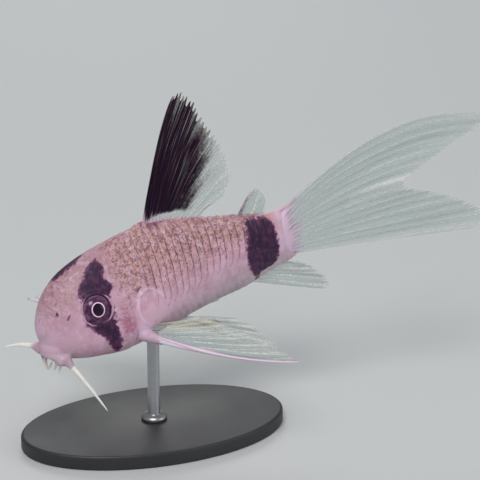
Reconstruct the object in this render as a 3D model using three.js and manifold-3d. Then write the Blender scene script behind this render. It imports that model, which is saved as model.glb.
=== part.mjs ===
// A long-finned panda corydoras, life size, swimming nose down on a plain display stand.
// Millimetres, +Z up. The fish heads along -X, its left side towards -Y, and the origin is
// the middle of the stand's underside. The fish is drawn straight, with X back from the tip
// of the snout and Z up from its long axis, and is then bent sideways and pitched.
import * as THREE from "three";
import { mergeVertices } from "three/addons/utils/BufferGeometryUtils.js";
import Module from "manifold-3d";

const wasm = await Module();
wasm.setup();

// Driving sizes
const bodyLength = 40;
const gap = 0.3;
const ringSides = 36;
const finWeb = 0.5;
const LEFT = -1;
const RIGHT = 1;

// Pose: the head turns to the left, the tail follows a little, and the nose points down
const headTurn = THREE.MathUtils.degToRad(10);
const tailTurn = THREE.MathUtils.degToRad(-5);
const bendFrom = 13;
const bendTo = bodyLength;
const noseDown = THREE.MathUtils.degToRad(10);

// Head, scutes and features, in the straight fish's own frame
const headEnd = { top: 12.2, side: 12.6, bottom: 11.0 };
const trunkEnd = 31.2;
const scutePitch = 1.15;
const scuteRise = 0.22;
const scuteRear = 0.87;
const scuteLean = { top: 0, side: -0.5, bottom: 1.1 };
const eye = { x: 7.6, z: 2.27, radius: 2.0, bulge: 0.65, depth: 1.3 };
const eyeLid = { away: 0.28, radius: 0.42, sunk: 0.06 };
const mouth = { x: 1.5, z: -3.9, width: 2.15, height: 0.8, lip: 0.62, lipOut: 0.55, tilt: 52 };
const nostril = { x: 3.0, z: 2.45, radius: 0.42, rim: 0.16, apart: 1.15 };

// Stand
const base = { length: 40, width: 24, thickness: 2.2, bevel: 0.4 };
const rod = { radius: 0.9, sides: 20, at: 17.6 };
const bellyHeight = 16.5;

const materials = {
  flesh: new THREE.MeshStandardMaterial({ color: 0xcfa3a3, roughness: 0.42, metalness: 0 }),
  scutes: new THREE.MeshStandardMaterial({ color: 0xc79896, roughness: 0.38, metalness: 0 }),
  eye: new THREE.MeshStandardMaterial({ color: 0x1b1019, roughness: 0.12, metalness: 0 }),
  clearFin: new THREE.MeshStandardMaterial({ color: 0xd9dcd6, roughness: 0.35, metalness: 0 }),
  darkFin: new THREE.MeshStandardMaterial({ color: 0x241a2a, roughness: 0.4, metalness: 0 }),
  barbel: new THREE.MeshStandardMaterial({ color: 0xdccfc8, roughness: 0.4, metalness: 0 }),
  base: new THREE.MeshStandardMaterial({ color: 0x1d1e20, roughness: 0.35, metalness: 0 }),
  steel: new THREE.MeshStandardMaterial({ color: 0xb9bcc0, roughness: 0.3, metalness: 1 }),
};

// A smooth curve through [place, value] keys
function through(keys) {
  const slopes = keys.map((key, i) => {
    const before = keys[Math.max(i - 1, 0)];
    const after = keys[Math.min(i + 1, keys.length - 1)];
    return (after[1] - before[1]) / (after[0] - before[0]);
  });
  return (place) => {
    let i = 0;
    while (i < keys.length - 2 && place > keys[i + 1][0]) i += 1;
    const [from, low] = keys[i];
    const [to, high] = keys[i + 1];
    const width = to - from;
    const t = THREE.MathUtils.clamp((place - from) / width, 0, 1);
    const ease = t * t * (3 - 2 * t);
    const leave = t * (1 - t) * (1 - t) * width * slopes[i];
    const arrive = t * t * (t - 1) * width * slopes[i + 1];
    return low + (high - low) * ease + leave + arrive;
  };
}

// Cross-sections: distance from the snout, back, belly, half width, height of the widest
// point, and the powers that make the back a ridge and the belly flat
const sections = [
  [0, 0.4, 0.4, 0, 0.4, 2, 2],
  [0.6, 2.4, -2.5, 1.6, -0.1, 2, 2.1],
  [2, 4.7, -4.2, 3, -0.4, 2, 2.3],
  [5, 7.1, -5.3, 4.8, -1.1, 1.95, 2.6],
  [9, 8.6, -5.95, 5.5, -1.7, 1.85, 2.7],
  [13, 9.4, -6.2, 5.7, -1.6, 1.7, 2.7],
  [17, 9.9, -5.9, 5.4, -1.0, 1.6, 2.5],
  [21, 9.9, -5.5, 4.9, -0.3, 1.6, 2.3],
  [25, 9.1, -5.1, 4.2, 0.3, 1.65, 2.2],
  [29, 8.0, -4.7, 3.5, 0.8, 1.75, 2],
  [33, 7.1, -4.2, 2.7, 1.2, 1.9, 2],
  [37, 6.15, -3.0, 1.85, 1.6, 2, 2],
  [40.6, 5.5, -1.9, 1.25, 1.8, 2, 2],
];
// The snout is blunt, so the curves run along the root of the distance
const profile = (column) => {
  const curve = through(sections.map((row) => [Math.sqrt(row[0]), row[column]]));
  return (x) => curve(Math.sqrt(Math.max(x, 0)));
};
const back = profile(1);
const belly = profile(2);
const halfWidth = profile(3);
const widest = profile(4);
const roofPower = profile(5);
const floorPower = profile(6);

const signedPower = (value, power) => Math.sign(value) * Math.abs(value) ** power;
const smoothstep = THREE.MathUtils.smoothstep;
const lerp = THREE.MathUtils.lerp;

// The body's skin at a distance from the snout and an angle from the back, left side first
function bareSkin(x, angle) {
  const high = Math.cos(angle) >= 0;
  const roundness = 2 / (high ? roofPower(x) : floorPower(x));
  const reach = high ? back(x) - widest(x) : widest(x) - belly(x);
  return new THREE.Vector3(
    x,
    LEFT * halfWidth(x) * signedPower(Math.sin(angle), roundness),
    widest(x) + reach * signedPower(Math.cos(angle), roundness),
  );
}

function skinNormal(x, angle) {
  const step = 0.04;
  const around = bareSkin(x, angle + step).sub(bareSkin(x, angle - step));
  const along = bareSkin(x + step, angle).sub(bareSkin(Math.max(x - step, 0), angle));
  return new THREE.Vector3().crossVectors(around, along).normalize();
}

function skin(x, angle, lift) {
  return bareSkin(x, angle).addScaledVector(skinNormal(x, angle), lift);
}

// A value that goes from top through side to bottom round the body
function roundBody({ top, side, bottom }, angle) {
  const share = Math.sin(angle) ** 2;
  return lerp(Math.cos(angle) > 0 ? top : bottom, side, share);
}

// The angle at which the skin has a given height, on the left side
function angleAt(x, z) {
  const high = z >= widest(x);
  const reach = high ? back(x) - widest(x) : widest(x) - belly(x);
  const share = THREE.MathUtils.clamp((z - widest(x)) / reach, -1, 1);
  return Math.acos(signedPower(share, (high ? roofPower(x) : floorPower(x)) / 2));
}

// Closed meshes and solids
function solidOf(geometry) {
  const bare = geometry.clone();
  bare.deleteAttribute("normal");
  bare.deleteAttribute("uv");
  const merged = mergeVertices(bare, 1e-4);
  const vertProperties = new Float32Array(merged.attributes.position.array);
  const faces = [];
  const index = merged.index.array;
  for (let i = 0; i < index.length; i += 3) {
    const [a, b, c] = index.subarray(i, i + 3);
    if (a !== b && b !== c && c !== a) faces.push([a, b, c]);
  }
  const make = (list) =>
    new wasm.Manifold(
      new wasm.Mesh({ numProp: 3, vertProperties, triVerts: new Uint32Array(list.flat()) }),
    );
  const made = make(faces);
  return made.volume() > 0 ? made : make(faces.map(([a, b, c]) => [a, c, b]));
}

function closedMesh(points, faces) {
  const geometry = new THREE.BufferGeometry().setFromPoints(points);
  return solidOf(geometry.setIndex(faces.flat()));
}

const union = (solids) => solids.reduce((whole, next) => whole.add(next));

// The biggest piece left by a cut, without the slivers a cut leaves
function largest(solid) {
  const pieces = solid.decompose();
  const best = pieces.reduce((top, piece) => (piece.volume() > top.volume() ? piece : top));
  return best.simplify(0.012);
}

// A closed solid through rings of equal count, with a middle point at each end
function loft(rings) {
  const count = rings[0].length;
  const middle = (ring) =>
    ring.reduce((sum, p) => sum.add(p), new THREE.Vector3()).divideScalar(count);
  const points = [...rings.flat(), middle(rings[0]), middle(rings.at(-1))];
  const faces = [];
  for (let side = 0; side < count; side += 1) {
    const next = (side + 1) % count;
    for (let ring = 0; ring < rings.length - 1; ring += 1) {
      const here = ring * count;
      const there = here + count;
      faces.push([here + side, there + side, there + next]);
      faces.push([here + side, there + next, here + next]);
    }
    const end = (rings.length - 1) * count;
    faces.push([points.length - 2, side, next]);
    faces.push([points.length - 1, end + next, end + side]);
  }
  return closedMesh(points, faces);
}

const angles = Array.from({ length: ringSides }, (_, i) => (i / ringSides) * 2 * Math.PI);

// Head: the skull and gill covers, as far as the gill opening
const headCut = (angle) => roundBody(headEnd, angle);

// Rings lie closer together towards the snout
function headShell() {
  const [rows, crowding] = [17, 1.7];
  const rings = [];
  for (let row = 1; row <= rows; row += 1) {
    const share = (row / rows) ** crowding;
    rings.push(angles.map((angle) => skin(share * headCut(angle), angle, 0)));
  }
  return loft(rings);
}

// A plate raised on the skin, an oval patch with a rounded rim
function plate({ x, z, long, tall, lean, rise, root }) {
  const sides = 18;
  const middleAngle = angleAt(x, z);
  const middleZ = bareSkin(x, middleAngle).z;
  const spot = (share, i, lift) => {
    const turn = (i / sides) * 2 * Math.PI;
    const u = Math.cos(turn) * long * share;
    const v = Math.sin(turn) * tall * share;
    const atX = x + u * Math.cos(lean) - v * Math.sin(lean);
    const atZ = middleZ + u * Math.sin(lean) + v * Math.cos(lean);
    return skin(atX, angleAt(atX, atZ), lift);
  };
  const ring = (share, lift) =>
    Array.from({ length: sides }, (_, i) => spot(share, i, lift));
  return loft([
    ring(0.3, root),
    ring(0.9, root),
    ring(1, 0),
    ring(0.93, rise),
    ring(0.55, rise * 1.5),
    ring(0.2, rise * 1.7),
  ]);
}

const mirrored = (solid) => solid.mirror([0, 1, 0]);
const onSide = (solid, side) => (side === LEFT ? solid : mirrored(solid));

// Turns a shape made round +Z so that it stands on the left side's skin
function onSkin(geometry, x, z, lift) {
  const angle = angleAt(x, z);
  const turn = new THREE.Quaternion().setFromUnitVectors(
    new THREE.Vector3(0, 0, 1),
    skinNormal(x, angle),
  );
  return geometry.applyQuaternion(turn).translate(...skin(x, angle, lift).toArray());
}

const eyeball = (grow) =>
  onSkin(
    new THREE.SphereGeometry(1, 20, 10).scale(
      eye.radius + grow,
      eye.radius + grow,
      eye.depth + grow,
    ),
    eye.x,
    eye.z,
    eye.bulge - eye.depth,
  );

const eyeRim = () =>
  onSkin(
    new THREE.TorusGeometry(eye.radius + eyeLid.away, eyeLid.radius, 6, 20),
    eye.x,
    eye.z,
    -eyeLid.sunk,
  );

// A pair of nostrils on the left side, each made from the same shape
function nostrils(shape) {
  return [-0.5, 0.5].map((share) =>
    solidOf(onSkin(shape.clone(), nostril.x + share * nostril.apart, nostril.z, 0)));
}
const nostrilRims = () => nostrils(new THREE.TorusGeometry(nostril.radius, nostril.rim, 5, 10));
const nostrilPits = () => nostrils(new THREE.SphereGeometry(nostril.radius * 0.8, 8, 6));

// Mouth: a ring of lip that faces down and forward, with fleshy corners for the barbels
const mouthTurn = THREE.MathUtils.degToRad(mouth.tilt);
const inMouth = (geometry, forward = 0) =>
  geometry
    .translate(0, 0, forward)
    .rotateY(-mouthTurn - Math.PI / 2)
    .translate(mouth.x, 0, mouth.z);

function lips(grow) {
  const ring = new THREE.TorusGeometry(1, (mouth.lip + grow) / mouth.width, 8, 22);
  ring.scale(mouth.height + mouth.lipOut, mouth.width, mouth.width);
  return solidOf(inMouth(ring));
}

const mouthCorner = new THREE.Vector3(mouth.x + 0.35, mouth.width, mouth.z - 0.25);
function corner(grow) {
  const ball = new THREE.SphereGeometry(1, 12, 8);
  ball.scale(1.0 + grow, 0.85 + grow, 0.95 + grow);
  ball.translate(mouthCorner.x, LEFT * mouthCorner.y, mouthCorner.z);
  return solidOf(ball);
}

// The fleshy muzzle that the lips stand on
const muzzleSize = { long: 2.2, wide: 2.65, tall: 1.9, behind: 0.7, above: 1.2 };
function muzzle() {
  const mound = new THREE.SphereGeometry(1, 20, 12);
  mound.scale(muzzleSize.long, muzzleSize.wide, muzzleSize.tall);
  return solidOf(mound.translate(mouth.x + muzzleSize.behind, 0, mouth.z + muzzleSize.above));
}

function mouthSlot() {
  const slot = new THREE.SphereGeometry(1, 14, 8);
  slot.scale(mouth.height * 0.62, mouth.width * 0.82, 1.1);
  return solidOf(inMouth(slot, mouth.lipOut));
}

const opercle = {
  x: 10.7, z: -0.7, long: 1.75, tall: 3.5, lean: -0.12, rise: 0.2, root: -0.7,
};
const cheek = { x: 6.9, z: -2.1, long: 2.1, tall: 1.2, lean: -0.15, rise: 0.14, root: -0.6 };

function head() {
  const leftOnes = [
    solidOf(eyeRim()),
    plate(opercle),
    plate(cheek),
    corner(0),
    ...nostrilRims(),
  ];
  const holes = [solidOf(eyeball(gap)), ...nostrilPits()];
  const added = [headShell(), muzzle(), lips(0), ...leftOnes, ...leftOnes.map(mirrored)];
  const rear = loft([headCutRing(0.1), headCutRing(6)]);
  return largest(
    union(added)
      .subtract(union([...holes, ...holes.map(mirrored)]))
      .subtract(mouthSlot())
      .subtract(rear),
  );
}

// What lies behind the gill opening, to trim the plates by
function headCutRing(beyond) {
  return angles.map((angle) => skin(headCut(angle) + beyond, angle, 1.5));
}

// Scutes: two rows a side, each plate lifting towards its rear edge over the next one
function scuteMask(x, angle) {
  const side = Math.abs(Math.sin(angle));
  const up = Math.cos(angle) > 0;
  const start = up ? lerp(13.4, 17.2, smoothstep(side, 0.35, 1)) : 17.6;
  const begun = smoothstep(x, start, start + 0.7);
  const naked = up ? 1 : smoothstep(side, lerp(0.55, 0, smoothstep(x, 26, 33)), 0.95);
  const seam = Math.abs(Math.cos(angle)) < 0.05 ? 0.15 : 1;
  return begun * naked * seam;
}

// The shoulder bone behind the gill opening, which carries the pectoral fin
function shoulder(x, angle) {
  const low = Math.cos(angle) < 0.5 && Math.abs(Math.sin(angle)) > 0.45;
  return low ? 0.2 * (1 - smoothstep(x, 16.7, 17.3)) : 0;
}

// Rings follow the gill opening in front and the scutes' lean behind
function rowX(x, angle) {
  const front = (roundBody(headEnd, angle) - headEnd.side) * smoothstep(x, 4, headEnd.side);
  const rear = roundBody(scuteLean, angle);
  return x + lerp(front, rear, smoothstep(x, headEnd.side + 1, headEnd.side + 5));
}

function bodyRing(x, raised) {
  return angles.map((angle) => {
    const at = rowX(x, angle);
    const lift = scuteRise * raised * scuteMask(at, angle) + shoulder(at, angle);
    return skin(at, angle, lift);
  });
}

// Two rings to a scute: its sunk front edge and its raised rear edge
function scutedBody(from, to) {
  const count = Math.round((to - from) / scutePitch);
  const pitch = (to - from) / count;
  const rings = [];
  for (let i = 0; i < count; i += 1) {
    rings.push(bodyRing(from + i * pitch, 0));
    rings.push(bodyRing(from + (i + scuteRear) * pitch, 1));
  }
  rings.push(bodyRing(to, 0));
  return loft(rings);
}

const trunk = () => scutedBody(headEnd.side + gap, trunkEnd);
const tailStalk = () => scutedBody(trunkEnd + gap, bodyLength);

// The whole body swollen by the gap, which everything that grows from it is cut back to
function swollenBody() {
  const stations = [0.02, 0.5, 1.5, 3.2, 5.5, 8, 10.5, 13, 15, 17, 19, 22, 25, 28, 31, 34, 37];
  const rings = [...stations, bodyLength + gap].map((x) =>
    angles.map((angle) => skin(rowX(x, angle) - (x < 0.1 ? gap : 0), angle, scuteRise + gap)));
  return loft(rings);
}
const swollen = swollenBody();

// A fin: rays fan from its root to its outline, ridges in a web that is notched between them
function fin({ rays, rows, place, spine, ray, notch }) {
  const columns = 2 * rays - 1;
  const front = [];
  const rear = [];
  const step = 0.02;
  for (let column = 0; column < columns; column += 1) {
    const across = column / (columns - 1);
    const isRay = column % 2 === 0;
    for (let row = 0; row <= rows; row += 1) {
      const out = (isRay ? 1 : 1 - notch) * (row / rows);
      const crest = lerp(column === 0 ? spine : ray, finWeb, out);
      const thick = isRay ? crest : finWeb;
      const middle = place(across, out);
      const side = place(Math.min(across + step, 1), out)
        .sub(place(Math.max(across - step, 0), out));
      const along = place(across, Math.min(out + step, 1))
        .sub(place(across, Math.max(out - step, 0)));
      const normal = side.cross(along).normalize().multiplyScalar(thick / 2);
      front.push(middle.clone().add(normal));
      rear.push(middle.clone().sub(normal));
    }
  }
  const at = (column, row) => column * (rows + 1) + row;
  const offset = front.length;
  const faces = [];
  const quad = (a, b, c, d) => faces.push([a, b, c], [a, c, d]);
  for (let column = 0; column < columns - 1; column += 1) {
    for (let row = 0; row < rows; row += 1) {
      const corners = [
        at(column, row), at(column + 1, row), at(column + 1, row + 1), at(column, row + 1),
      ];
      const [a, b, c, d] = corners;
      quad(a, b, c, d);
      const [e, f, g, h] = corners.map((i) => i + offset);
      faces.push([e, g, f], [e, h, g]);
    }
    for (const row of [0, rows]) {
      const [a, b] = [at(column, row), at(column + 1, row)];
      const wall = [a, b, b + offset, a + offset];
      if (row === 0) wall.reverse();
      quad(...wall);
    }
  }
  for (const column of [0, columns - 1]) {
    for (let row = 0; row < rows; row += 1) {
      const [a, b] = [at(column, row), at(column, row + 1)];
      const wall = [a, b, b + offset, a + offset];
      if (column > 0) wall.reverse();
      quad(...wall);
    }
  }
  return closedMesh([...front, ...rear], faces);
}

// A point on the curve from a root to a tip, pulled towards a middle point
function bow(root, pull, tip, t) {
  return new THREE.Vector3()
    .addScaledVector(root, (1 - t) * (1 - t))
    .addScaledVector(pull, 2 * t * (1 - t))
    .addScaledVector(tip, t * t);
}

// Places a fin: its root is a line sunk in the body, its tips are [share, x, y, z], and each
// ray arches along a direction by a share of its own length and waves a little sideways
function fan({ from, to, tips, along = [0, 0, 1], arch = [[0, 0], [1, 0]], wave = 0 }) {
  const [start, finish, side] = [from, to, along].map((list) => new THREE.Vector3(...list));
  const tipAt = [1, 2, 3].map((axis) => through(tips.map((row) => [row[0], row[axis]])));
  const archAt = through(arch);
  return (across, out) => {
    const root = start.clone().lerp(finish, across);
    const tip = new THREE.Vector3(...tipAt.map((curve) => curve(across)));
    const pull = root.clone().lerp(tip, 0.5);
    pull.addScaledVector(side, archAt(across) * root.distanceTo(tip));
    const point = bow(root, pull, tip, out);
    point.y += wave * Math.sin(out * 2.7 + across * 1.8) * out;
    return point;
  };
}

const flat = (tips) => tips.map(([share, x, z]) => [share, x, 0, z]);

const dorsalPlace = fan({
  from: [18.9, 0, 9.2],
  to: [27.2, 0, 7.6],
  tips: flat([
    [0, 27.2, 26.9], [0.1, 28.6, 27.3], [0.22, 30.2, 25.6], [0.35, 31.2, 22.4], [0.5, 32.8, 18.9],
    [0.65, 33.5, 15.6], [0.78, 33.6, 12.9], [0.9, 32.2, 10.9], [1, 30.2, 9.9],
  ]),
  along: [-1, 0, 0.5],
  arch: [[0, 0.04], [0.5, 0.03], [1, 0.05]],
  wave: 0.7,
});
const adiposePlace = fan({
  from: [32.9, 0, 5.9],
  to: [37.2, 0, 5.2],
  tips: flat([[0, 36.7, 10.2], [0.3, 37.7, 9.6], [0.65, 38.2, 8.1], [1, 37.9, 6.7]]),
  along: [-1, 0, 1],
  arch: [[0, 0.04], [1, 0]],
  wave: 0.1,
});
const analPlace = fan({
  from: [32.2, 0, -3.0],
  to: [37.2, 0, -1.7],
  tips: flat([
    [0, 45.4, -8.5], [0.15, 46, -8.0], [0.4, 45.4, -5.9], [0.6, 44.2, -4.7], [0.8, 42.8, -3.4],
    [1, 41.7, -2.6],
  ]),
  arch: [[0, -0.03], [1, 0]],
  wave: 0.5,
});
const tailPlace = fan({
  from: [39.3, 0, 4.8],
  to: [39.3, 0, -1.2],
  tips: flat([
    [0, 75, 12], [0.08, 74.3, 11.1], [0.17, 72, 10.1], [0.27, 68.3, 9], [0.36, 64.6, 7.6],
    [0.44, 61.4, 6.4], [0.5, 59.8, 5.0], [0.56, 61.2, 3.9], [0.65, 64, 2.7], [0.77, 68, 0.6],
    [0.88, 71.2, -2], [0.95, 71.9, -3.2], [1, 70, -4.5],
  ]),
  arch: [[0, 0.26], [0.25, 0.15], [0.5, 0.04], [1, -0.01]],
  wave: 1.6,
});

// One lobe of the tail fin, above or below the fork
const tailLobe = (upper) => (across, out) => {
  const point = tailPlace(upper ? across / 2 : 0.5 + across / 2, out);
  point.z += upper ? gap / 2 : -gap / 2;
  return point;
};

// Paired fins: the left pectoral is swept back and the right one is held straight out
const pectorals = {
  left: fan({
    from: [12.7, -4.5, -4.0],
    to: [13.8, -4.4, -2.8],
    tips: [
      [0, 34.4, -16.7, -10.8], [0.1, 32.6, -15.6, -9.3], [0.35, 29.4, -12.7, -7.2],
      [0.7, 25.4, -9.2, -4.8], [1, 22, -7.4, -3.2],
    ],
    along: [0, 0, -1],
    arch: [[0, 0.12], [1, 0.04]],
  }),
  right: fan({
    from: [12.5, 4.4, -4.2],
    to: [14.2, 4.4, -3.4],
    tips: [
      [0, 9.2, 25.5, -5.5], [0.12, 11, 25, -5.2], [0.35, 15.5, 22, -4.6],
      [0.7, 20.4, 17, -3.8], [1, 22.4, 12.2, -3.2],
    ],
    along: [0, 0, 1],
    arch: [[0, 0.02], [1, 0.02]],
  }),
};
const pelvics = {
  left: fan({
    from: [19.4, -2.4, -4.5],
    to: [21.2, -2.4, -4.5],
    tips: [
      [0, 33.9, -10, -11.5], [0.2, 32.9, -9.2, -10], [0.5, 31.4, -8, -8],
      [0.8, 29.4, -6.8, -6.2], [1, 26, -5, -5.3],
    ],
    along: [0, 0, -1],
    arch: [[0, 0.03], [1, 0]],
  }),
  right: fan({
    from: [19.4, 2.4, -4.5],
    to: [21.2, 2.4, -4.5],
    tips: [
      [0, 32.4, 11.6, -10.6], [0.2, 31.8, 10.4, -9.4], [0.5, 30.6, 8.8, -7.8],
      [0.8, 28.8, 7.2, -6.2], [1, 25.8, 5.2, -5.3],
    ],
    along: [0, 0, -1],
    arch: [[0, 0.03], [1, 0]],
  }),
};

const cleared = (solid) => largest(solid.subtract(swollen));

// Barbels: tapered feelers from the corners of the mouth and the lower lip
const barbels = {
  maxillary_left: { from: [2.2, -2.2, -3.8], by: [4.0, -3.6, -7.6], to: [5.9, -5.0, -12.9] },
  maxillary_right: { from: [1.1, 2.4, -3.4], by: [-0.8, 5.4, -2.6], to: [-2.3, 8.2, -3.9] },
  rictal_left: { from: [2.5, -1.5, -4.3], by: [4.2, -2.0, -7.4], to: [6.0, -2.2, -11.3] },
  rictal_right: { from: [1.0, 1.6, -4.2], by: [0.8, 2.1, -7.9], to: [2.0, 1.7, -5.7] },
  chin_left: { from: [2.3, -0.6, -4.8], by: [2.2, -0.8, -5.9], to: [1.4, -0.9, -6.5] },
  chin_right: { from: [2.2, 0.6, -4.8], by: [2.2, 0.6, -5.9], to: [1.5, 0.5, -6.5] },
};
const barbelRadius = { maxillary: 0.52, rictal: 0.42, chin: 0.34, tip: 0.14 };

function barbel(name) {
  const { from, by, to } = barbels[name];
  const [root, pull, tip] = [from, by, to].map((list) => new THREE.Vector3(...list));
  const wide = barbelRadius[name.split("_")[0]];
  const [sides, steps] = [8, 11];
  const rings = [];
  for (let i = 0; i <= steps; i += 1) {
    const t = i / steps;
    const middle = bow(root, pull, tip, t);
    const along = bow(root, pull, tip, t + 0.01).sub(bow(root, pull, tip, t - 0.01)).normalize();
    const across = new THREE.Vector3(0, 1, 0).cross(along).normalize();
    const up = along.clone().cross(across);
    const radius = lerp(wide, barbelRadius.tip, t ** 0.8);
    rings.push(Array.from({ length: sides }, (_, side) => {
      const turn = (side / sides) * 2 * Math.PI;
      return middle.clone()
        .addScaledVector(across, radius * Math.cos(turn))
        .addScaledVector(up, radius * Math.sin(turn));
    }));
  }
  return loft(rings);
}

const swollenMouth = union([lips(gap), corner(gap), mirrored(corner(gap))]);
const clearedBarbel = (name) =>
  largest(barbel(name).subtract(swollen).subtract(swollenMouth));

// Bends the straight fish sideways: the skull is stiff, the trunk and tail stalk curve
function bend(point) {
  const turnRate = (tailTurn - headTurn) / (bendTo - bendFrom);
  const heading = (x) => headTurn + turnRate * (THREE.MathUtils.clamp(x, bendFrom, bendTo) - bendFrom);
  const turned = heading(point.x);
  const curved = THREE.MathUtils.clamp(point.x, bendFrom, bendTo);
  const line = new THREE.Vector2(
    (Math.sin(heading(curved)) - Math.sin(headTurn)) / turnRate,
    (Math.cos(headTurn) - Math.cos(heading(curved))) / turnRate,
  );
  const straight = point.x - curved;
  line.x += bendFrom * Math.cos(headTurn) + straight * Math.cos(turned);
  line.y += bendFrom * Math.sin(headTurn) + straight * Math.sin(turned);
  return new THREE.Vector3(
    line.x - Math.sin(turned) * point.y,
    line.y + Math.cos(turned) * point.y,
    point.z,
  );
}

function named(name, solid, material, change = (p) => p) {
  const made = solid.getMesh();
  const points = [];
  for (let i = 0; i < made.numVert; i += 1) {
    points.push(change(new THREE.Vector3().fromArray(made.vertProperties, i * made.numProp)));
  }
  const geometry = new THREE.BufferGeometry().setFromPoints(points);
  geometry.setIndex([...made.triVerts]);
  geometry.computeVertexNormals();
  const mesh = new THREE.Mesh(geometry, material);
  mesh.name = name;
  return mesh;
}

const fish = new THREE.Group();
const addFish = (name, solid, material) => fish.add(named(name, solid, material, bend));

addFish("head", head(), materials.flesh);
addFish("trunk", trunk(), materials.scutes);
addFish("tail_stalk", tailStalk(), materials.scutes);
for (const [word, side] of [["left", LEFT], ["right", RIGHT]]) {
  addFish(`eye_${word}`, onSide(solidOf(eyeball(0)), side), materials.eye);
}
for (const name of Object.keys(barbels)) {
  addFish(`barbel_${name}`, clearedBarbel(name), materials.barbel);
}

// Each fin's place, its numbers of rays and rows, its thicknesses, and the notch of its web
const pectoral = { rays: 8, rows: 9, spine: 1.1, ray: 0.75, notch: 0.06 };
const pelvic = { rays: 6, rows: 7, spine: 0.9, ray: 0.75, notch: 0.07 };
const lobe = { rays: 7, rows: 12, spine: 0.9, ray: 0.85, notch: 0.02 };
const fins = {
  pectoral_fin_left: { place: pectorals.left, ...pectoral },
  pectoral_fin_right: { place: pectorals.right, ...pectoral },
  pelvic_fin_left: { place: pelvics.left, ...pelvic },
  pelvic_fin_right: { place: pelvics.right, ...pelvic },
  dorsal_fin: { place: dorsalPlace, rays: 9, rows: 10, spine: 1.2, ray: 0.8, notch: 0.05 },
  adipose_fin: { place: adiposePlace, rays: 3, rows: 6, spine: 0.9, ray: 0.5, notch: 0 },
  anal_fin: { place: analPlace, rays: 7, rows: 8, spine: 0.8, ray: 0.75, notch: 0.06 },
  tail_fin_upper_lobe: { place: tailLobe(true), ...lobe },
  tail_fin_lower_lobe: { place: tailLobe(false), ...lobe },
};
for (const [name, sizes] of Object.entries(fins)) {
  const material = name === "dorsal_fin" ? materials.darkFin : materials.clearFin;
  addFish(name, cleared(fin(sizes)), material);
}

// The rod's top meets the belly over the origin
const perch = bend(new THREE.Vector3(rod.at, 0, belly(rod.at)));
fish.rotation.y = -noseDown;
const carried = perch.clone().applyEuler(fish.rotation);
fish.position.set(-carried.x, -carried.y, bellyHeight - carried.z);
fish.updateMatrixWorld(true);

// Stand: an oval plate with bevelled edges and one upright rod
function oval(inset) {
  return new THREE.Shape().absellipse(
    0, 0, base.length / 2 - inset, base.width / 2 - inset, 0, 2 * Math.PI,
  );
}
const plateGeometry = new THREE.ExtrudeGeometry(oval(base.bevel), {
  depth: base.thickness - 2 * base.bevel,
  bevelThickness: base.bevel,
  bevelSize: base.bevel,
  bevelSegments: 2,
  curveSegments: 18,
}).translate(0, 0, base.bevel);

function rodSolid() {
  const height = bellyHeight + 2 - base.thickness - gap;
  const upright = new THREE.CylinderGeometry(rod.radius, rod.radius, height, rod.sides)
    .rotateX(Math.PI / 2)
    .translate(0, 0, base.thickness + gap + height / 2);
  const placed = solidOf(named("", swollen, null, bend).geometry.applyMatrix4(fish.matrixWorld));
  const trimmed = solidOf(upright).subtract(placed).decompose();
  return trimmed.reduce((low, piece) =>
    piece.boundingBox().min[2] < low.boundingBox().min[2] ? piece : low);
}

const stand = new THREE.Group();
stand.add(named("stand_base", solidOf(plateGeometry), materials.base));
stand.add(named("stand_rod", rodSolid(), materials.steel));

const model = new THREE.Group();
model.add(fish, stand);

export default model;
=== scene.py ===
"""A long-finned panda corydoras on a plain display stand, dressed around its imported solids.

The fish is drawn straight, in millimetres, with X back from the snout, its left side
towards -Y and Z up from its long axis. to_world() bends it sideways, pitches it nose down
and carries it to its rod, in metres, just as the solids are.
"""
import math

import bpy
import numpy as np
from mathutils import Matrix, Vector


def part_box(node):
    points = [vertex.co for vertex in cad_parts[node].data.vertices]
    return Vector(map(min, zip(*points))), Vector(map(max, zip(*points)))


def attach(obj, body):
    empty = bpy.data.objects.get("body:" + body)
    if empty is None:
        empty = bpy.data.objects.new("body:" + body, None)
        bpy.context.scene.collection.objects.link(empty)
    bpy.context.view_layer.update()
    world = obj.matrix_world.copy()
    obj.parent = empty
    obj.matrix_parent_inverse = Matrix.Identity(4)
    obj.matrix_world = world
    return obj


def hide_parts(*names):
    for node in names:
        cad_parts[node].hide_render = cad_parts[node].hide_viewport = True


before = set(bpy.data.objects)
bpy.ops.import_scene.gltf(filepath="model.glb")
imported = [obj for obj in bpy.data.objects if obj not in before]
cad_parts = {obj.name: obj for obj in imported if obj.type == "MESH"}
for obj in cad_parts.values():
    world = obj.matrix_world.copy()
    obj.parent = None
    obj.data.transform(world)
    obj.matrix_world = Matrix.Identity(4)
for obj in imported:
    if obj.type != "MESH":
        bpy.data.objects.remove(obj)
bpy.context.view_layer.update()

MM = 0.001
LEFT, RIGHT = -1, 1
TURN = 2 * math.pi
FAR = 9.0
SIDES = (("left", LEFT), ("right", RIGHT))

# Driving sizes, the same as the solids'
BODY_LENGTH = 40
HEAD_TURN, TAIL_TURN, NOSE_DOWN = (math.radians(a) for a in (10, -5, 10))
BEND_FROM, BEND_TO = 13, BODY_LENGTH
GILL_EDGE = {"top": 12.2, "side": 12.6, "bottom": 11.0}
SCUTE_PITCH = 1.15
ROD_AT = 17.6
BELLY_HEIGHT = 16.5
EYE = {"x": 7.6, "z": 2.27, "radius": 2.0, "bulge": 0.65, "depth": 1.3}
MOUTH = {"x": 1.5, "z": -3.9, "width": 2.15, "height": 0.8, "lip": 0.62, "tilt": 52}

# Camera: how it looks at the fish, and where the middle of its picture lies
CAMERA = {"azimuth": -22, "elevation": 18, "distance": 260, "aim": (13.65, 0, 28.23)}
FOCAL_PIXELS, IMAGE_PIXELS, SENSOR = 1784, 480, 36


# Curves and waves

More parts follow.
